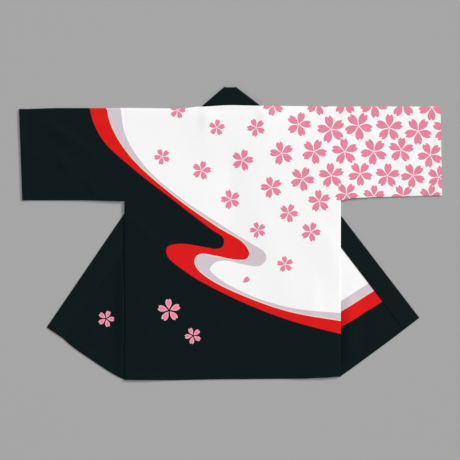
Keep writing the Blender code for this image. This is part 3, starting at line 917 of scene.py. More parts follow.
class BackCut:
    """The cut of the back: it lies as it is cut, with half turns past its sewn edges."""

    def __init__(self):
        """Works out the sides, the neck's breadth and the sewn edges."""
        left, right = PLANS
        self.low, self.high = -left.seam_x, right.seam_x
        self.neck_low = -left.side.neck - NECK_CLEAR
        self.neck_high = right.side.neck + NECK_CLEAR
        self.edges = {}
        for x, way in ((self.low, -1), (self.high, 1)):
            pit = along(UNDERARM_LINE, x) - HALF_REACH
            self.edges[way] = split(np.array([[x, along(HEM_LINE, x)], [x, pit]]), GRID)
        self.tops = {
            -1: outline_run(SHOULDER_LINE, self.neck_low, self.low, HALF_REACH),
            1: outline_run(SHOULDER_LINE, self.high, self.neck_high, HALF_REACH),
        }

    def outline(self):
        """The whole cut, with strips for its half turns."""
        edges, tops = self.edges, self.tops
        out, up = np.array([HALF_STRIP, 0.0]), np.array([0.0, HALF_STRIP])
        neck = (self.neck_high - SEAM_GAP, self.neck_low + SEAM_GAP)
        return np.vstack(
            [
                edges[-1][:1] - out,
                outline_run(HEM_LINE, self.low, self.high),
                edges[1] + out,
                edges[1][-1:],
                tops[1][:1],
                tops[1] + up,
                tops[1][-1:],
                outline_run(SHOULDER_LINE, *neck),
                tops[-1][:1],
                tops[-1] + up,
                tops[-1][-1:],
                edges[-1][-1:],
                edges[-1][::-1] - out,
            ]
        )

    def lines(self):
        """Lines that the triangles follow: half turns, armholes, and steps over hem and neck."""
        lines = []
        for way in (-1, 1):
            lines += half_strips(self.edges[way], (way, 0)) + half_strips(self.tops[way], (0, 1))
            pit = self.edges[way][-1]
            top = [pit[0], along(SHOULDER_LINE, pit[0]) - HALF_REACH - GROOVE_END]
            armhole = np.array([pit, top])
            lines += [armhole - [way * inset, 0.0] for inset in GROOVE_LINES]
        hem = outline_run(HEM_LINE, self.low + SEAM_CLEAR, self.high - SEAM_CLEAR)
        lines += [hem + [0.0, HEM_DEPTH], hem + [0.0, HEM_DEPTH + HEM_STEP]]
        neck = (self.neck_low + SEAM_FADE, self.neck_high - SEAM_FADE)
        for depth in (NECK_ALLOWANCE, NECK_ALLOWANCE + HEM_STEP):
            lines.append(outline_run(SHOULDER_LINE, *neck, depth))
        return lines

    def relief(self, base, y, depth):
        """Height of the creases, of the armholes' dips and of the steps over hem and neck."""
        x = base[:, 0]
        side_gap = np.minimum(np.abs(x - self.low), np.abs(x - self.high))
        dip = np.where(y > along(UNDERARM_LINE, x), groove(side_gap), 0)
        hem_gap = base[:, 1] - along(HEM_LINE, x)
        steps = hem_step(hem_gap, HEM_DEPTH) * np.clip(side_gap / SEAM_FADE, 0, 1)
        neck_gap = along(SHOULDER_LINE, x) - base[:, 1]
        neck_run = np.minimum(x - self.neck_low, self.neck_high - x) / SEAM_FADE
        steps += hem_step(neck_gap, NECK_ALLOWANCE) * np.clip(neck_run, 0, 1)
        return relief(base, CREASES, edge_distance(base), depth), steps, dip


def back_panel(settings):
    """The back, in one piece from side to side."""
    pattern = BackCut()
    outline, areas = pattern.outline(), picture()
    inks = print_lines(areas, outline.min(0), outline.max(0))
    cut, faces, middles = triangles(outline, pattern.lines(), inks)

    x, y = cut[:, 0], cut[:, 1]
    shoulder = along(SHOULDER_LINE, x) - HALF_REACH
    side_past = np.clip(np.maximum(pattern.low - x, x - pattern.high), 0, HALF_STRIP)
    beside_neck = (x < pattern.neck_low) | (x > pattern.neck_high)
    top_past = np.where(beside_neck, np.clip(y - shoulder, 0, HALF_STRIP), 0)
    outward = np.where(x < 0, -1, 1)
    base = cut - np.stack([outward * side_past, top_past], axis=1)
    over = third_level(base)
    radius = seam_radius(second_level(base), over)
    side_reach, side_drop = half_turn(side_past, radius)
    top_reach, top_drop = half_turn(top_past, radius)
    folds, steps, dip = pattern.relief(base, y, settings.crease_depth)
    height = over + CLOTH / 2 - side_drop - top_drop + folds + steps + dip
    points = np.stack([base[:, 0] + outward * side_reach, base[:, 1] + top_reach, height], axis=1)
    faces = facing_up(points, faces, np.ones(len(faces), bool))
    return panel("back_cloth", points, faces, cut, ink_at(middles, areas), settings)


class FrontCut:
    """The cut of a front. Its fold lies along the first axis, with the folded-under part on
    the low side and the opened part past a strip for the turn."""

    def __init__(self, plan):
        """Works out the fold's length and the folded-under part's sewn edges."""
        self.plan = plan
        self.fold_length = self.along_fold(plan.panel_seam[-1]) - FOLD_SHORT
        armpit = plan.underarm(plan.seam_x) - HALF_REACH
        side = np.array([[plan.seam_x, plan.hem(plan.seam_x)], [plan.seam_x, armpit]])
        self.side_edge = split(side, GRID)
        shoulder_end = plan.side.neck + FRONT_NECK_CLEAR
        self.shoulder = plan.line_at(plan.shoulder, plan.seam_x, shoulder_end, HALF_REACH)

    def along_fold(self, points):
        """How far laid points are from the fold's foot, along the fold."""
        return (points - self.plan.fold_foot) @ self.plan.fold_way

    def onto(self, points, opened):
        """Laid points on the cut, on its opened part or on its folded-under one."""
        aside = (points - self.plan.fold_foot) @ self.plan.fold_out
        return np.stack([self.along_fold(points), TURN_STRIP - aside if opened else aside], axis=1)

    def laid(self, cut, opened):
        """Where points of the cut lie, for the opened part or the folded-under one."""
        plan, aside = self.plan, cut[:, 1]
        aside = -np.maximum(aside - TURN_STRIP, 0.0) if opened else np.minimum(aside, 0.0)
        return plan.fold_foot + cut[:, :1] * plan.fold_way + aside[:, None] * plan.fold_out

    def outline(self):
        """The whole cut, with strips for its half turns and for the fold."""
        plan, fold_length = self.plan, self.fold_length
        under = np.vstack(
            [
                self.side_edge + [HALF_STRIP, 0.0],
                self.side_edge[-1:],
                self.shoulder[:1],
                self.shoulder + [0.0, HALF_STRIP],
                self.shoulder[-1:],
                plan.neck_edge()[:1],
            ]
        )
        seam = plan.panel_seam[self.along_fold(plan.panel_seam) < fold_length - FOLD_CORNER]
        opened = np.vstack([split(seam, GRID)[::-1], plan.open_hem[-2::-1]])
        return np.vstack(
            [
                self.onto(under, False),
                [[fold_length, 0.0], [fold_length, TURN_STRIP]],
                self.onto(opened, True),
                [[0.0, TURN_STRIP], [0.0, 0.0]],
            ]
        )

    def lines(self):
        """Lines that the triangles follow: turns, the step over the hem, the rise at the side."""
        lines = turn_strips(np.array([[0.0, 0.0], [self.fold_length, 0.0]]))
        seams = half_strips(self.side_edge, (1, 0)) + half_strips(self.shoulder, (0, 1))
        hems = (HEM_DEPTH, HEM_DEPTH + HEM_STEP)
        steps = [self.plan.hem_above(distance)[1:-1] for distance in hems]
        steps += self.plan.uprights((FREE_OF_SIDE, FREE_OF_SIDE + FREE_RISE))
        lines += [self.onto(line, False) for line in seams]
        return lines + [self.onto(line, True) for line in steps]

    def print_edges(self, areas, opened):
        """Edges of the print on either part, clear of the fold."""
        edges = []
        for line in print_lines(areas):
            line = self.onto(split(self.plan.world(line), GRID), opened)
            aside = line[:, 1]
            clear = aside > TURN_STRIP + FOLD_CLEAR if opened else aside < -FOLD_CLEAR
            edges += kept_runs(line, clear)
        return edges


def folded_under(plan, laid):
    """Places of a front's folded-under part, and the height of what it lies on."""
    x, y = laid[:, 0], laid[:, 1]
    side_past = np.clip(x - plan.seam_x, 0, HALF_STRIP)
    above = np.clip(y - plan.shoulder(x) + HALF_REACH, 0, HALF_STRIP)
    top_past = np.where(x > plan.side.neck + FRONT_TURN_CLEAR, above, 0)
    base = laid - np.stack([side_past, top_past], axis=1)
    under_z = second_level(plan.world(base))
    radius = seam_radius(under_z, third_level(plan.world(base)))
    side_reach, side_rise = half_turn(side_past, radius)
    top_reach, top_rise = half_turn(top_past, radius)
    height = under_z + CLOTH / 2 + side_rise + top_rise
    return np.stack([base[:, 0] + side_reach, base[:, 1] + top_reach, height], axis=1), under_z


def opened_out(plan, laid, aside, under_z, depth):
    """Places of a front's turn and of its opened part."""
    turn = np.clip(aside / TURN_STRIP, 0, 1) * math.pi
    reach = under_z / 2 * np.sin(turn)
    free = np.clip((laid[:, 0] - plan.side.side - FREE_OF_SIDE) / FREE_RISE, 0, 1)
    rim_gap = line_distance(laid, closed(plan.flap()))
    folds = relief(plan.world(laid), FLAP_CREASES, rim_gap, depth)
    folds = free * (folds + hem_step(line_distance(laid, plan.open_hem), HEM_DEPTH))
    height = CLOTH / 2 + np.where(aside < TURN_STRIP, under_z / 2 * (1 + np.cos(turn)), folds)
    return np.column_stack([laid + reach[:, None] * plan.fold_out, height])


def front_panel(plan, settings):
    """A front: folded under the back, then opened out from the fold over the side."""
    pattern = FrontCut(plan)
    laid_areas, flap_areas = picture(), flap_print()
    inks = pattern.print_edges(laid_areas, False) + pattern.print_edges(flap_areas, True)
    cut, faces, middles = triangles(pattern.outline(), pattern.lines(), inks)

    aside = cut[:, 1]
    folded, under_z = folded_under(plan, pattern.laid(cut, False))
    opened = opened_out(plan, pattern.laid(cut, True), aside, under_z, settings.crease_depth)
    points = np.where((aside <= 0)[:, None], folded, opened) * [plan.side.sign, 1, 1]

    on_flap = middles[:, 1] > 0
    laid_inks = ink_at(plan.world(pattern.laid(middles, False)), laid_areas)
    flap_inks = ink_at(plan.world(pattern.laid(middles, True)), flap_areas)
    inked = np.where(on_flap, flap_inks, laid_inks)
    faces = facing_up(points, faces, on_flap)
    return panel(f"front_cloth_{plan.side.name}", points, faces, cut, inked, settings)


class SleeveCut:
    """The cut of a sleeve. The first axis runs from armhole to cuff. The second runs up the
    upper layer, over the turn and down the lower layer."""

    def __init__(self, plan):
        """Works out the sleeve's length and depth."""
        self.plan = plan
        self.inner = plan.seam_x + SEAM_LINE
        self.length = plan.side.cuff_top - self.inner
        low, top = plan.underarm(self.inner), plan.shoulder(self.inner)
        self.deep = float(top - low) - 2 * SLEEVE_REACH
        self.over = 2 * self.deep + TURN_STRIP

    def cuff(self, share):
        """Distance of the cuff from the centre, at a share of the sleeve's depth."""
        return between(self.plan.side.cuff_low, self.plan.side.cuff_top, share)

    def fold_lines(self, x):
        """Heights of the seam underneath and of the turn, at a distance from the centre."""
        return self.plan.underarm(x) + SLEEVE_REACH, self.plan.shoulder(x) - SLEEVE_REACH

    def onto(self, points, upper):
        """Laid points on the cut, on its upper layer or on its lower one."""
        low, top = self.fold_lines(points[:, 0])
        share = (points[:, 1] - low) / (top - low)
        out = (points[:, 0] - self.inner) / (self.cuff(share) - self.inner) * self.length
        up = share * self.deep
        return np.stack([out, up if upper else self.over - up], axis=1)

    def laid(self, cut):
        """Where points of the cut lie."""
        up = np.where(cut[:, 1] > self.deep + TURN_STRIP / 2, self.over - cut[:, 1], cut[:, 1])
        share = np.clip(up / self.deep, 0, 1)
        x = self.inner + cut[:, 0] / self.length * (self.cuff(share) - self.inner)
        return np.stack([x, between(*self.fold_lines(x), share)], axis=1)

    def outline(self):
        """The whole cut, with a strip for the half turn at either end."""
        foot, head = -HALF_STRIP, self.over + HALF_STRIP
        return np.array([[0.0, foot], [self.length, foot], [self.length, head], [0.0, head]])

    def lines(self):
        """Lines that the triangles follow: turns, the armhole's dip, the step over the hem."""
        across = np.array([[0.0, 0.0], [self.length, 0.0]])
        lines = half_strips(across, (0, -1)) + half_strips(across + [0, self.over], (0, 1))
        lines += turn_strips(across + [0, self.deep])
        around = np.array([[0.0, GROOVE_END], [0.0, self.over - GROOVE_END]])
        hem = (self.length - HEM_DEPTH, self.length - HEM_DEPTH - HEM_STEP)
        return lines + [around + [out, 0] for out in GROOVE_LINES + hem]

    def print_edges(self, areas):
        """Edges of the print on both layers."""
        plan, edges = self.plan, []
        for line in print_lines(areas):
            line = split(plan.world(line), GRID)
            x, y = line[:, 0], line[:, 1]
            near = (x > self.inner - PRINT_MARGIN) & (x < plan.side.cuff_top + PRINT_MARGIN)
            near &= (y > plan.underarm(x) - PRINT_MARGIN) & (y < plan.shoulder(x) + PRINT_MARGIN)
            for stretch in kept_runs(line, near):
                upper, lower = self.onto(stretch, True), self.onto(stretch, False)
                edges += kept_runs(upper, upper[:, 1] < self.deep)
                edges += kept_runs(lower, lower[:, 1] > self.deep + TURN_STRIP)
        return edges


def sleeve(plan, settings):
    """A sleeve: one piece turned over at the shoulder line, its edges meeting underneath."""
    pattern, areas = SleeveCut(plan), picture()
    inks = pattern.print_edges(areas)
    cut, faces, middles = triangles(pattern.outline(), pattern.lines(), inks)

    base, up = pattern.laid(cut), cut[:, 1]
    world = plan.world(base)
    under_z, over_z = second_level(world), third_level(world)
    folds = relief(world, CREASES, edge_distance(world), settings.crease_depth)
    armhole_gap, cuff_gap = np.abs(base[:, 0] - pattern.inner), pattern.length - cut[:, 0]
    folds += groove(armhole_gap) + hem_step(cuff_gap, HEM_DEPTH)
    upper_z, lower_z = over_z + CLOTH / 2 + folds, under_z + CLOTH / 2
    middle, half = (upper_z + lower_z) / 2, (upper_z - lower_z) / 2
    turn = np.clip((up - pattern.deep) / TURN_STRIP, 0, 1) * math.pi
    past = np.clip(np.maximum(-up, up - pattern.over), 0, HALF_STRIP)
    low_reach, drop = half_turn(past, seam_radius(under_z, over_z))
    height = middle + half * np.cos(turn) + np.where(up < 0, -drop, drop)
    y = base[:, 1] + half * np.sin(turn) - low_reach
    points = np.column_stack([plan.side.sign * base[:, 0], y, height])
    faces = facing_up(points, faces, middles[:, 1] < pattern.deep)
    inked = ink_at(plan.world(pattern.laid(middles)), areas)
    return panel(f"sleeve_cloth_{plan.side.name}", points, faces, cut, inked, settings)


# ---- The collar ----


def rib(seam, free, level, mirror=(1, 1)):
    """Points across the band, from its seam to its free edge, softly crowned."""
    share = np.linspace(0, 1, COLLAR_RIB)[:, None]
    line = between(seam, free, share) * mirror
    crown = COLLAR_CROWN * np.sin(math.pi * share[:, 0]) ** CROWN_FULLNESS
    return np.column_stack([line, level(line) + COLLAR / 2 + crown])


def fold_ribs(start, end, out):
    """Ribs round a fold between two ribs that lie over each other."""
    made = []
    middle, half = (start + end) / 2, (end[:, 2] - start[:, 2]) / 2
    for k in range(1, TURN_STEPS):
        angle = math.pi * k / TURN_STEPS
        rib_points = middle.copy()
        rib_points[:, :2] += out * (half * math.sin(angle))[:, None]
        rib_points[:, 2] -= half * math.cos(angle)
        made.append(rib_points)
    return made


def collar_half(plan):
    """Ribs of the band from one hem to the fold beside the neck."""
    free, seam = at_shares(plan.free_edge, LEG_RIBS), at_shares(plan.collar_seam, LEG_RIBS)
    leg = [rib(s, f, first_level, plan.mirror) for s, f in zip(seam, free)]
    turn = []
    for share in np.linspace(0, 1, TURN_RIBS + 1):
        s = between(plan.seam_foot, plan.neck_point, share)
        f = between(plan.fold_top, plan.crown, share)
        turn.append(rib(s, f, second_level, plan.mirror))
    top = rib(plan.neck_point, plan.crown, third_level, plan.mirror)
    low_fold = fold_ribs(leg[-1], turn[0], plan.world(plan.fold_out))
    high_fold = fold_ribs(turn[-1], top, plan.world(plan.crown_out))
    return leg + low_fold + turn + high_fold + [top]


def collar(settings):
    """One band, from the left hem up round the back of the neck to the right hem."""
    halves = [collar_half(plan) for plan in PLANS]
    left, right = PLANS
    neck = []
    for share in np.linspace(0, 1, NECK_RIBS + 1)[1:-1]:
        seam_x = between(-left.neck_point[0], right.neck_point[0], share)
        free_x = between(-left.crown[0], right.crown[0], share)
        seam = np.array([seam_x, along(SHOULDER_LINE, seam_x) + SEAM_GAP])
        neck.append(rib(seam, np.array([free_x, left.crown[1]]), third_level))
    ribs = np.array(halves[0] + neck + halves[1][::-1])
    count = ribs.shape[1]
    faces = np.array(
        [
            (k * count + i, k * count + i + 1, (k + 1) * count + i + 1, (k + 1) * count + i)
            for k in range(len(ribs) - 1)
            for i in range(count - 1)
        ]
    )
    run = np.concatenate([[0], np.cumsum(np.linalg.norm(np.diff(ribs[:, 0], axis=0), axis=1))])
    across = np.linspace(0, COLLAR_WIDTH, count)
    cut = np.array([(x, y) for x in run for y in across])
    inked = np.full(len(faces), INKS.index("collar_black"))
    right_side = cloth_materials(settings)[:1]
    raw = cloth("collar_cloth", ribs.reshape(-1, 3), faces, cut, inked, COLLAR, right_side)
    edges = raw.modifiers.new("Folded edges", "BEVEL")
    edges.width = COLLAR_EDGE * METRE
    edges.segments = COLLAR_EDGE_STEPS
    edges.limit_method = "ANGLE"
    edges.angle_limit = COLLAR_EDGE_ANGLE
    return finished("collar_cloth", raw)


# ---- Stitches ----


def laid_on(made, line):
    """A line of points dropped onto a finished piece from above, in metres."""
    above = CAD_BOX[1][2] + DROP_FROM * METRE
    found = []
    for x, y in line:
        hit, place, _, _ = made.ray_cast((x * METRE, y * METRE, above), (0.0, 0.0, -1.0))
        if hit:
            found.append(tuple(place))
    return found


def stitching():
    """Lines of stitching on the finished pieces, in metres, for each thread."""
    pieces = bpy.data.objects
    left, right = PLANS
    from_edge = HEM_DEPTH - STITCH_INSET
    x_low, x_high = SEAM_CLEAR - left.seam_x, right.seam_x - SEAM_CLEAR
    hem = outline_run(HEM_LINE, x_low, x_high, -from_edge, STITCH_FOLLOW)
    x_low, x_high = SEAM_CLEAR - left.neck_point[0], right.neck_point[0] - SEAM_CLEAR
    neck = outline_run(SHOULDER_LINE, x_low, x_high, -SEAM_GAP - TOPSTITCH, STITCH_FOLLOW)
    lines = [laid_on(pieces["back_cloth"], hem), laid_on(pieces["collar_cloth"], neck)]
    cuffs = []
    for plan in PLANS:
        side = plan.side
        seam = split(plan.collar_seam, STITCH_FOLLOW)
        seam = offset(seam[seam[:, 0] > side.side], -TOPSTITCH)
        lines.append(laid_on(pieces["collar_cloth"], plan.world(seam)))
        hem = split(plan.hem_above(from_edge)[1:], STITCH_FOLLOW)
        hem = hem[hem[:, 0] > side.side + SEAM_CLEAR]
        lines.append(laid_on(pieces[f"front_cloth_{side.name}"], plan.world(hem)))
        low = np.array([side.cuff_low, plan.underarm(side.cuff_low)])
        top = np.array([side.cuff_top, plan.shoulder(side.cuff_top)])
        clear = SEAM_CLEAR * unit(top - low)
        cuff = split(np.array([low + clear, top - clear]), STITCH_FOLLOW) - [from_edge, 0.0]
        cuffs.append(laid_on(pieces[f"sleeve_cloth_{side.name}"], plan.world(cuff)))
    return {"black": lines + cuffs[:1], "white": cuffs[1:]}


def stitch_tree(name, material):
    """Geometry Nodes: one stitch at even steps along each curve."""
    tree = bpy.data.node_groups.new(name, "GeometryNodeTree")
    sockets = tree.interface
    sockets.new_socket("Geometry", in_out="INPUT", socket_type="NodeSocketGeometry")
    for label in ("Pitch", "Length", "Thickness"):
        sockets.new_socket(label, in_out="INPUT", socket_type="NodeSocketFloat")
    sockets.new_socket("Geometry", in_out="OUTPUT", socket_type="NodeSocketGeometry")
    given = add(tree, "NodeGroupInput").outputs
    along_curve = {"Curve": given["Geometry"], "Length": given["Pitch"]}
    spaced = add(tree, "GeometryNodeResampleCurve", {"mode": "LENGTH"}, along_curve)
    few_faces = {"Segments": 6, "Rings": 4, "Radius": 0.5}
    stitch = add(tree, "GeometryNodeMeshUVSphere", inputs=few_faces)
    slim = {"X": given["Thickness"], "Y": given["Thickness"], "Z": given["Length"]}
    size = add(tree, "ShaderNodeCombineXYZ", inputs=slim)
    tangent = add(tree, "GeometryNodeInputTangent").outputs["Tangent"]
    turned = add(tree, "FunctionNodeAlignRotationToVector", {"axis": "Z"}, {"Vector": tangent})
    placed = add(
        tree,
        "GeometryNodeInstanceOnPoints",
        inputs={
            "Points": spaced.outputs["Curve"],
            "Instance": stitch.outputs["Mesh"],
            "Rotation": turned.outputs["Rotation"],
            "Scale": size.outputs["Vector"],
        },
    )
    instances = {"Geometry": placed.outputs["Instances"]}
    real = add(tree, "GeometryNodeRealizeInstances", inputs=instances)
    thread = {"Geometry": real.outputs["Geometry"], "Material": material}
    coloured = add(tree, "GeometryNodeSetMaterial", inputs=thread)
    add(tree, "NodeGroupOutput", inputs={"Geometry": coloured.outputs["Geometry"]})
    return tree


def stitches(name, lines, material, settings):
    """All stitches of one thread, as one mesh."""
    curve = bpy.data.curves.new(name, "CURVE")
    curve.dimensions = "3D"
    for line in lines:
        spline = curve.splines.new("POLY")
        spline.points.add(len(line) - 1)
        spline.points.foreach_set("co", np.column_stack([line, np.ones(len(line))]).ravel())
    raw = in_scene(name + "_raw", curve)
    tree = stitch_tree(name, material)
    modifier = raw.modifiers.new("Stitches", "NODES")
    modifier.node_group = tree
    sizes = {
        "Pitch": settings.stitch_pitch,
        "Length": settings.stitch_length,
        "Thickness": settings.thread,
    }
    for item in tree.interface.items_tree:
        if item.in_out == "INPUT" and item.name in sizes:
            modifier[item.identifier] = sizes[item.name]
    made = finished(name, raw)
    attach(made, "root")


# ---- Materials ----


def linear(code):
    """An sRGB hex colour as linear red, green and blue."""
    parts = [int(code[k : k + 2], 16) / 255 for k in (1, 3, 5)]
    return tuple(c / 12.92 if c <= 0.04045 else ((c + 0.055) / 1.055) ** 2.4 for c in parts)


def ink_colour(name):
    """A colour of the settings, with alpha."""
    return (*getattr(bpy.context.scene.happi_coat, name), 1.0)


def add(tree, kind, settings=None, inputs=None):
    """A node with its settings; an input is a value or another node's output."""
    node = tree.nodes.new(kind)
    for key, value in (settings or {}).items():
        setattr(node, key, value)
    for key, value in (inputs or {}).items():
        socket = node.inputs[key]
        if isinstance(value, bpy.types.NodeSocket):
            tree.links.new(value, socket)
        else:
            socket.default_value = value
    return node


def empty_material(name):
    """A material with no nodes yet, and its tree."""
    material = bpy.data.materials.new(name)
    material.use_nodes = True
    material.node_tree.nodes.clear()
    return material, material.node_tree


def printed_cotton(name, wrong_side, settings):
    """Cotton broadcloth, woven plain, dyed by screen printing and pressed.

    The eye sees a matt, even face with a fine weave and slightly uneven threads. The
    wrong side shows the print paler, as ink that has only half come through."""
    material, tree = empty_material(name)
    colour = add(tree, "ShaderNodeVertexColor", {"layer_name": "print"}).outputs["Color"]
    if wrong_side:
        # The Mix node's colours are its inputs 6 and 7 and its output 2.
        halves = {0: WRONG_SIDE_PALING, 6: colour, 7: ink_colour("white")}
        colour = add(tree, "ShaderNodeMix", {"data_type": "RGBA"}, halves).outputs[2]
    cut = add(tree, "ShaderNodeUVMap", {"uv_map": "cut"}).outputs["UV"]

    # Thicker and thinner threads, streaks about 11 mm long and 2 mm apart
    streaks = add(tree, "ShaderNodeMapping", inputs={"Vector": cut, "Scale": (1.0, 6.0, 1.0)})
    uneven = {"Vector": streaks.outputs["Vector"], "Scale": 90.0, "Detail": 3.0}
    slub = add(tree, "ShaderNodeTexNoise", inputs=uneven).outputs["Fac"]
    shades = {"Value": slub, "From Min": 0.3, "From Max": 0.7, "To Min": 0.98, "To Max": 1.015}
    shade = add(tree, "ShaderNodeMapRange", inputs=shades).outputs["Result"]
    dyed = add(tree, "ShaderNodeVectorMath", {"operation": "SCALE"}, {0: colour, "Scale": shade})

    # Real threads lie 0.35 mm apart; drawn coarser so that they show
    waves = {"Vector": cut, "Distortion": 1.5, "Detail": 1.0}
    waves["Scale"] = 2 * math.pi / (WAVE_TURN * settings.weave_pitch)
    warp = add(tree, "ShaderNodeTexWave", {"bands_direction": "X"}, waves).outputs["Fac"]
    weft = add(tree, "ShaderNodeTexWave", {"bands_direction": "Y"}, waves).outputs["Fac"]
    weave = add(tree, "ShaderNodeMath", {"operation": "MULTIPLY"}, {0: warp, 1: weft})
    threads = {"Height": weave.outputs["Value"], "Strength": 0.2, "Distance": 0.0003}
    bump = add(tree, "ShaderNodeBump", inputs=threads)
    finish = {
        "Base Color": dyed.outputs["Vector"],
        "Roughness": 0.88,
        "Specular IOR Level": 0.12,
        "Sheen Weight": 0.015,
        "Sheen Roughness": 0.5,
        "Normal": bump.outputs["Normal"],
    }
    shader = add(tree, "ShaderNodeBsdfPrincipled", inputs=finish)
    add(tree, "ShaderNodeOutputMaterial", inputs={"Surface": shader.outputs["BSDF"]})
    return material


def polyester_thread(name):
    """Spun polyester sewing thread: smoother than the cloth, so it catches a little light."""
    material, tree = empty_material(name)
    place = add(tree, "ShaderNodeTexCoord").outputs["Object"]
    # The twist of a 0.5 mm thread, 0.7 mm from turn to turn
    fibres = {"Vector": place, "Scale": 1400.0, "Detail": 1.0}
    twist = add(tree, "ShaderNodeTexNoise", inputs=fibres).outputs["Fac"]
    relief_of_twist = {"Height": twist, "Strength": 0.3, "Distance": 0.0001}
    bump = add(tree, "ShaderNodeBump", inputs=relief_of_twist).outputs["Normal"]
    finish = {
        "Base Color": ink_colour(name),
        "Roughness": 0.6,
        "Specular IOR Level": 0.2,
        "Normal": bump,
    }
    shader = add(tree, "ShaderNodeBsdfPrincipled", inputs=finish)
    add(tree, "ShaderNodeOutputMaterial", inputs={"Surface": shader.outputs["BSDF"]})
    return material


def matt_paper():
    """Backdrop paper, rolled and uncoated: even and pale, with no shine."""
    material, tree = empty_material("matt_paper")
    finish = {"Base Color": ink_colour("floor"), "Roughness": 0.95, "Specular IOR Level": 0.1}
    shader = add(tree, "ShaderNodeBsdfPrincipled", inputs=finish)
    add(tree, "ShaderNodeOutputMaterial", inputs={"Surface": shader.outputs["BSDF"]})
    return material


def cloth_materials(settings):
    """The cloth's right and wrong sides, made once."""
    right, wrong = "printed_cotton", "printed_cotton_wrong_side"
    made = bpy.data.materials
    return [
        made.get(right) or printed_cotton(right, False, settings),
        made.get(wrong) or printed_cotton(wrong, True, settings),
    ]


# ---- Stage ----


def backdrop(settings):
    """A square of paper that the coat lies on."""
    half = settings.floor_size / 2
    corners = ((-half, -half), (half, -half), (half, half), (-half, half))
    mesh = bpy.data.meshes.new("floor")
    mesh.from_pydata([(x, y, FLOOR_Z) for x, y in corners], [], [(0, 1, 2, 3)])
    mesh.materials.append(matt_paper())
    return in_scene("floor", mesh)


def lamps(settings):
    """A broad light above and a low, distant one."""
    softbox = bpy.data.lights.new("overhead_softbox", "AREA")
    softbox.size = settings.softbox_size
    softbox.energy = settings.softbox_power
    window = bpy.data.lights.new("distant_window", "SUN")
    window.energy = settings.window_strength
    window.angle = settings.window_breadth
    for light, place in ((softbox, SOFTBOX_PLACE), (window, WINDOW_PLACE)):
        lamp = in_scene(light.name, light)
        lamp.location = place
        lamp.rotation_euler = (-Vector(place)).to_track_quat("-Z", "Y").to_euler()


def surroundings(scene):
    """Even white light from all round, with colours shown as they are."""
    world = bpy.data.worlds.new("studio")
    world.use_nodes = True
    sky = world.node_tree.nodes["Background"].inputs
    sky["Color"].default_value = (1.0, 1.0, 1.0, 1.0)
    sky["Strength"].default_value = WORLD_LIGHT
    scene.world = world
    scene.view_settings.view_transform = "Standard"


def overhead_camera(settings):
    """A camera that looks straight down."""
    lens = bpy.data.cameras.new("camera")
    lens.lens = CAMERA_LENS
    camera = in_scene("camera", lens)
    camera.location = (CAMERA_X, CAMERA_Y, settings.camera_height)
    return camera


# ---- Add-on ----


def colour_property(label, code, description):
    """A colour that a user may change, from its sRGB hex value."""
    return bpy.props.FloatVectorProperty(
        name=label, description=description, default=linear(code), subtype="COLOR", min=0, max=1
    )


def number_property(label, default, description, **more):
    """A number from 0 up that a user may change."""
    return bpy.props.FloatProperty(
        name=label, description=description, default=default, min=0, **more
    )


def length_property(label, default, description):
    """A length that a user may change, in metres."""
    return number_property(label, default, description, unit="LENGTH", precision=4)


class HappiCoatSettings(bpy.types.PropertyGroup):
    """Sizes and colours that a user may change"""

    crease_depth: number_property("Crease depth", 1.0, "1 is as laid; 0 is pressed flat", max=2)
    weave_pitch: length_property("Weave pitch", 0.0012, "Distance between drawn threads")
    stitch_pitch: length_property("Stitch pitch", 0.0036, "From one stitch to the next")
    stitch_length: length_property("Stitch length", 0.0026, "Length of thread that shows")
    thread: length_property("Thread", 0.0005, "Thickness of the sewing thread")

    black: colour_property("Black", "#031315", "Ground of the panels")
    collar_black: colour_property("Collar black", "#061415", "The collar's own cloth")
    red: colour_property("Red", "#DB1516", "Outer band of the stream")
    cream: colour_property("Cream", "#EADBCC", "Line beside the red band")
    lavender: colour_property("Lavender", "#D1C5CD", "Inner band of the stream")
    white: colour_property("White", "#F7F7F7", "Ground under the blossoms")
    pink: colour_property("Pink", "#E7849E", "Blossoms")
    pale_pink: colour_property("Pale pink", "#F4A9BD", "Rims of the petals on black")
    black_thread: colour_property("Black thread", "#0D191B", "Sewing on the black cloth")
    white_thread: colour_property("White thread", "#E4E4E4", "Sewing on the white cloth")
    floor: colour_property("Floor", "#A6A6A6", "Backdrop paper")

    camera_height: length_property("Camera height", 2.625, "Above the surface")
    floor_size: length_property("Floor size", 8.0, "Side of the square floor")
    softbox_size: length_property("Softbox size", 6.5, "Side of the light above")
    softbox_power: number_property("Softbox power", 96.0, "Of the light above", unit="POWER")
    window_strength: number_property("Window strength", 2.97, "Low light that shows the creases")
    window_breadth: number_property(
        "Window breadth", math.radians(14), "Angle that the low light fills", unit="ROTATION"
    )


class HAPPI_OT_back(bpy.types.Operator):
    """Make the back panel"""

    bl_idname = "happi.back"
    bl_label = "Back"

    def execute(self, context):
        declare(back_panel(context.scene.happi_coat), "back_panel")
        return {"FINISHED"}


class HAPPI_OT_fronts(bpy.types.Operator):
    """Make both fronts, folded under and opened out"""

    bl_idname = "happi.fronts"
    bl_label = "Fronts"

    def execute(self, context):
        for plan in PLANS:
            made = front_panel(plan, context.scene.happi_coat)
            declare(made, f"front_{plan.side.name}")
        return {"FINISHED"}


class HAPPI_OT_sleeves(bpy.types.Operator):
    """Make both sleeves"""

    bl_idname = "happi.sleeves"
    bl_label = "Sleeves"

    def execute(self, context):
        for plan in PLANS:
            made = sleeve(plan, context.scene.happi_coat)
            declare(made, f"sleeve_{plan.side.name}")
        return {"FINISHED"}


class HAPPI_OT_collar(bpy.types.Operator):
    """Make the collar band"""

    bl_idname = "happi.collar"
    bl_label = "Collar"

    def execute(self, context):
        declare(collar(context.scene.happi_coat), "collar")
        return {"FINISHED"}


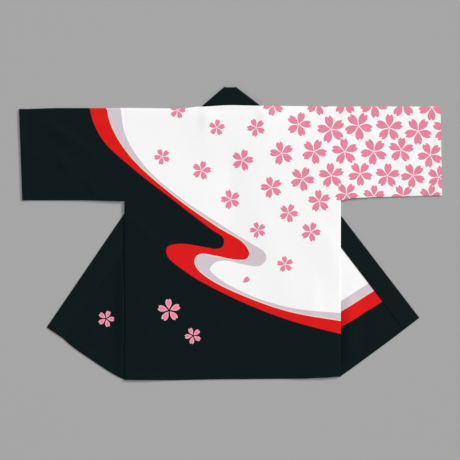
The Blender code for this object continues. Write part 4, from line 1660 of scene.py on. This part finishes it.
class HAPPI_OT_stitches(bpy.types.Operator):
    """Sew the hems, the cuffs and the collar's edge"""

    bl_idname = "happi.stitches"
    bl_label = "Stitches"

    def execute(self, context):
        settings = context.scene.happi_coat
        lines = stitching()
        black, white = polyester_thread("black_thread"), polyester_thread("white_thread")
        stitches("stitches_black", lines["black"], black, settings)
        stitches("stitches_white", lines["white"], white, settings)
        return {"FINISHED"}


class HAPPI_OT_stage(bpy.types.Operator):
    """Make the floor, the lights and the camera"""

    bl_idname = "happi.stage"
    bl_label = "Stage"

    def execute(self, context):
        settings = context.scene.happi_coat
        floor = backdrop(settings)
        lamps(settings)
        surroundings(context.scene)
        context.scene.camera = overhead_camera(settings)
        return {"FINISHED"}


class HAPPI_PT_coat(bpy.types.Panel):
    """Lists the coat's sizes, colours and pieces"""

    bl_idname = "HAPPI_PT_coat"
    bl_label = "Happi coat"
    bl_space_type = "VIEW_3D"
    bl_region_type = "UI"
    bl_category = "Happi"

    def draw(self, context):
        settings = context.scene.happi_coat
        for name in HappiCoatSettings.__annotations__:
            self.layout.prop(settings, name)
        for operator in OPERATORS:
            self.layout.operator(operator.bl_idname)


OPERATORS = (
    HAPPI_OT_back,
    HAPPI_OT_fronts,
    HAPPI_OT_sleeves,
    HAPPI_OT_collar,
    HAPPI_OT_stitches,
    HAPPI_OT_stage,
)
CLASSES = (HappiCoatSettings, *OPERATORS, HAPPI_PT_coat)


def register():
    """Adds the settings, the operators and the panel."""
    for cls in CLASSES:
        bpy.utils.register_class(cls)
    bpy.types.Scene.happi_coat = bpy.props.PointerProperty(type=HappiCoatSettings)


def unregister():
    """Takes them away again."""
    del bpy.types.Scene.happi_coat
    for cls in reversed(CLASSES):
        bpy.utils.unregister_class(cls)


def main():
    """Builds the coat and its stage."""
    register()
    bpy.ops.happi.back()
    bpy.ops.happi.fronts()
    bpy.ops.happi.sleeves()
    bpy.ops.happi.collar()
    bpy.ops.happi.stitches()
    bpy.ops.happi.stage()


if __name__ == "__main__":
    main()
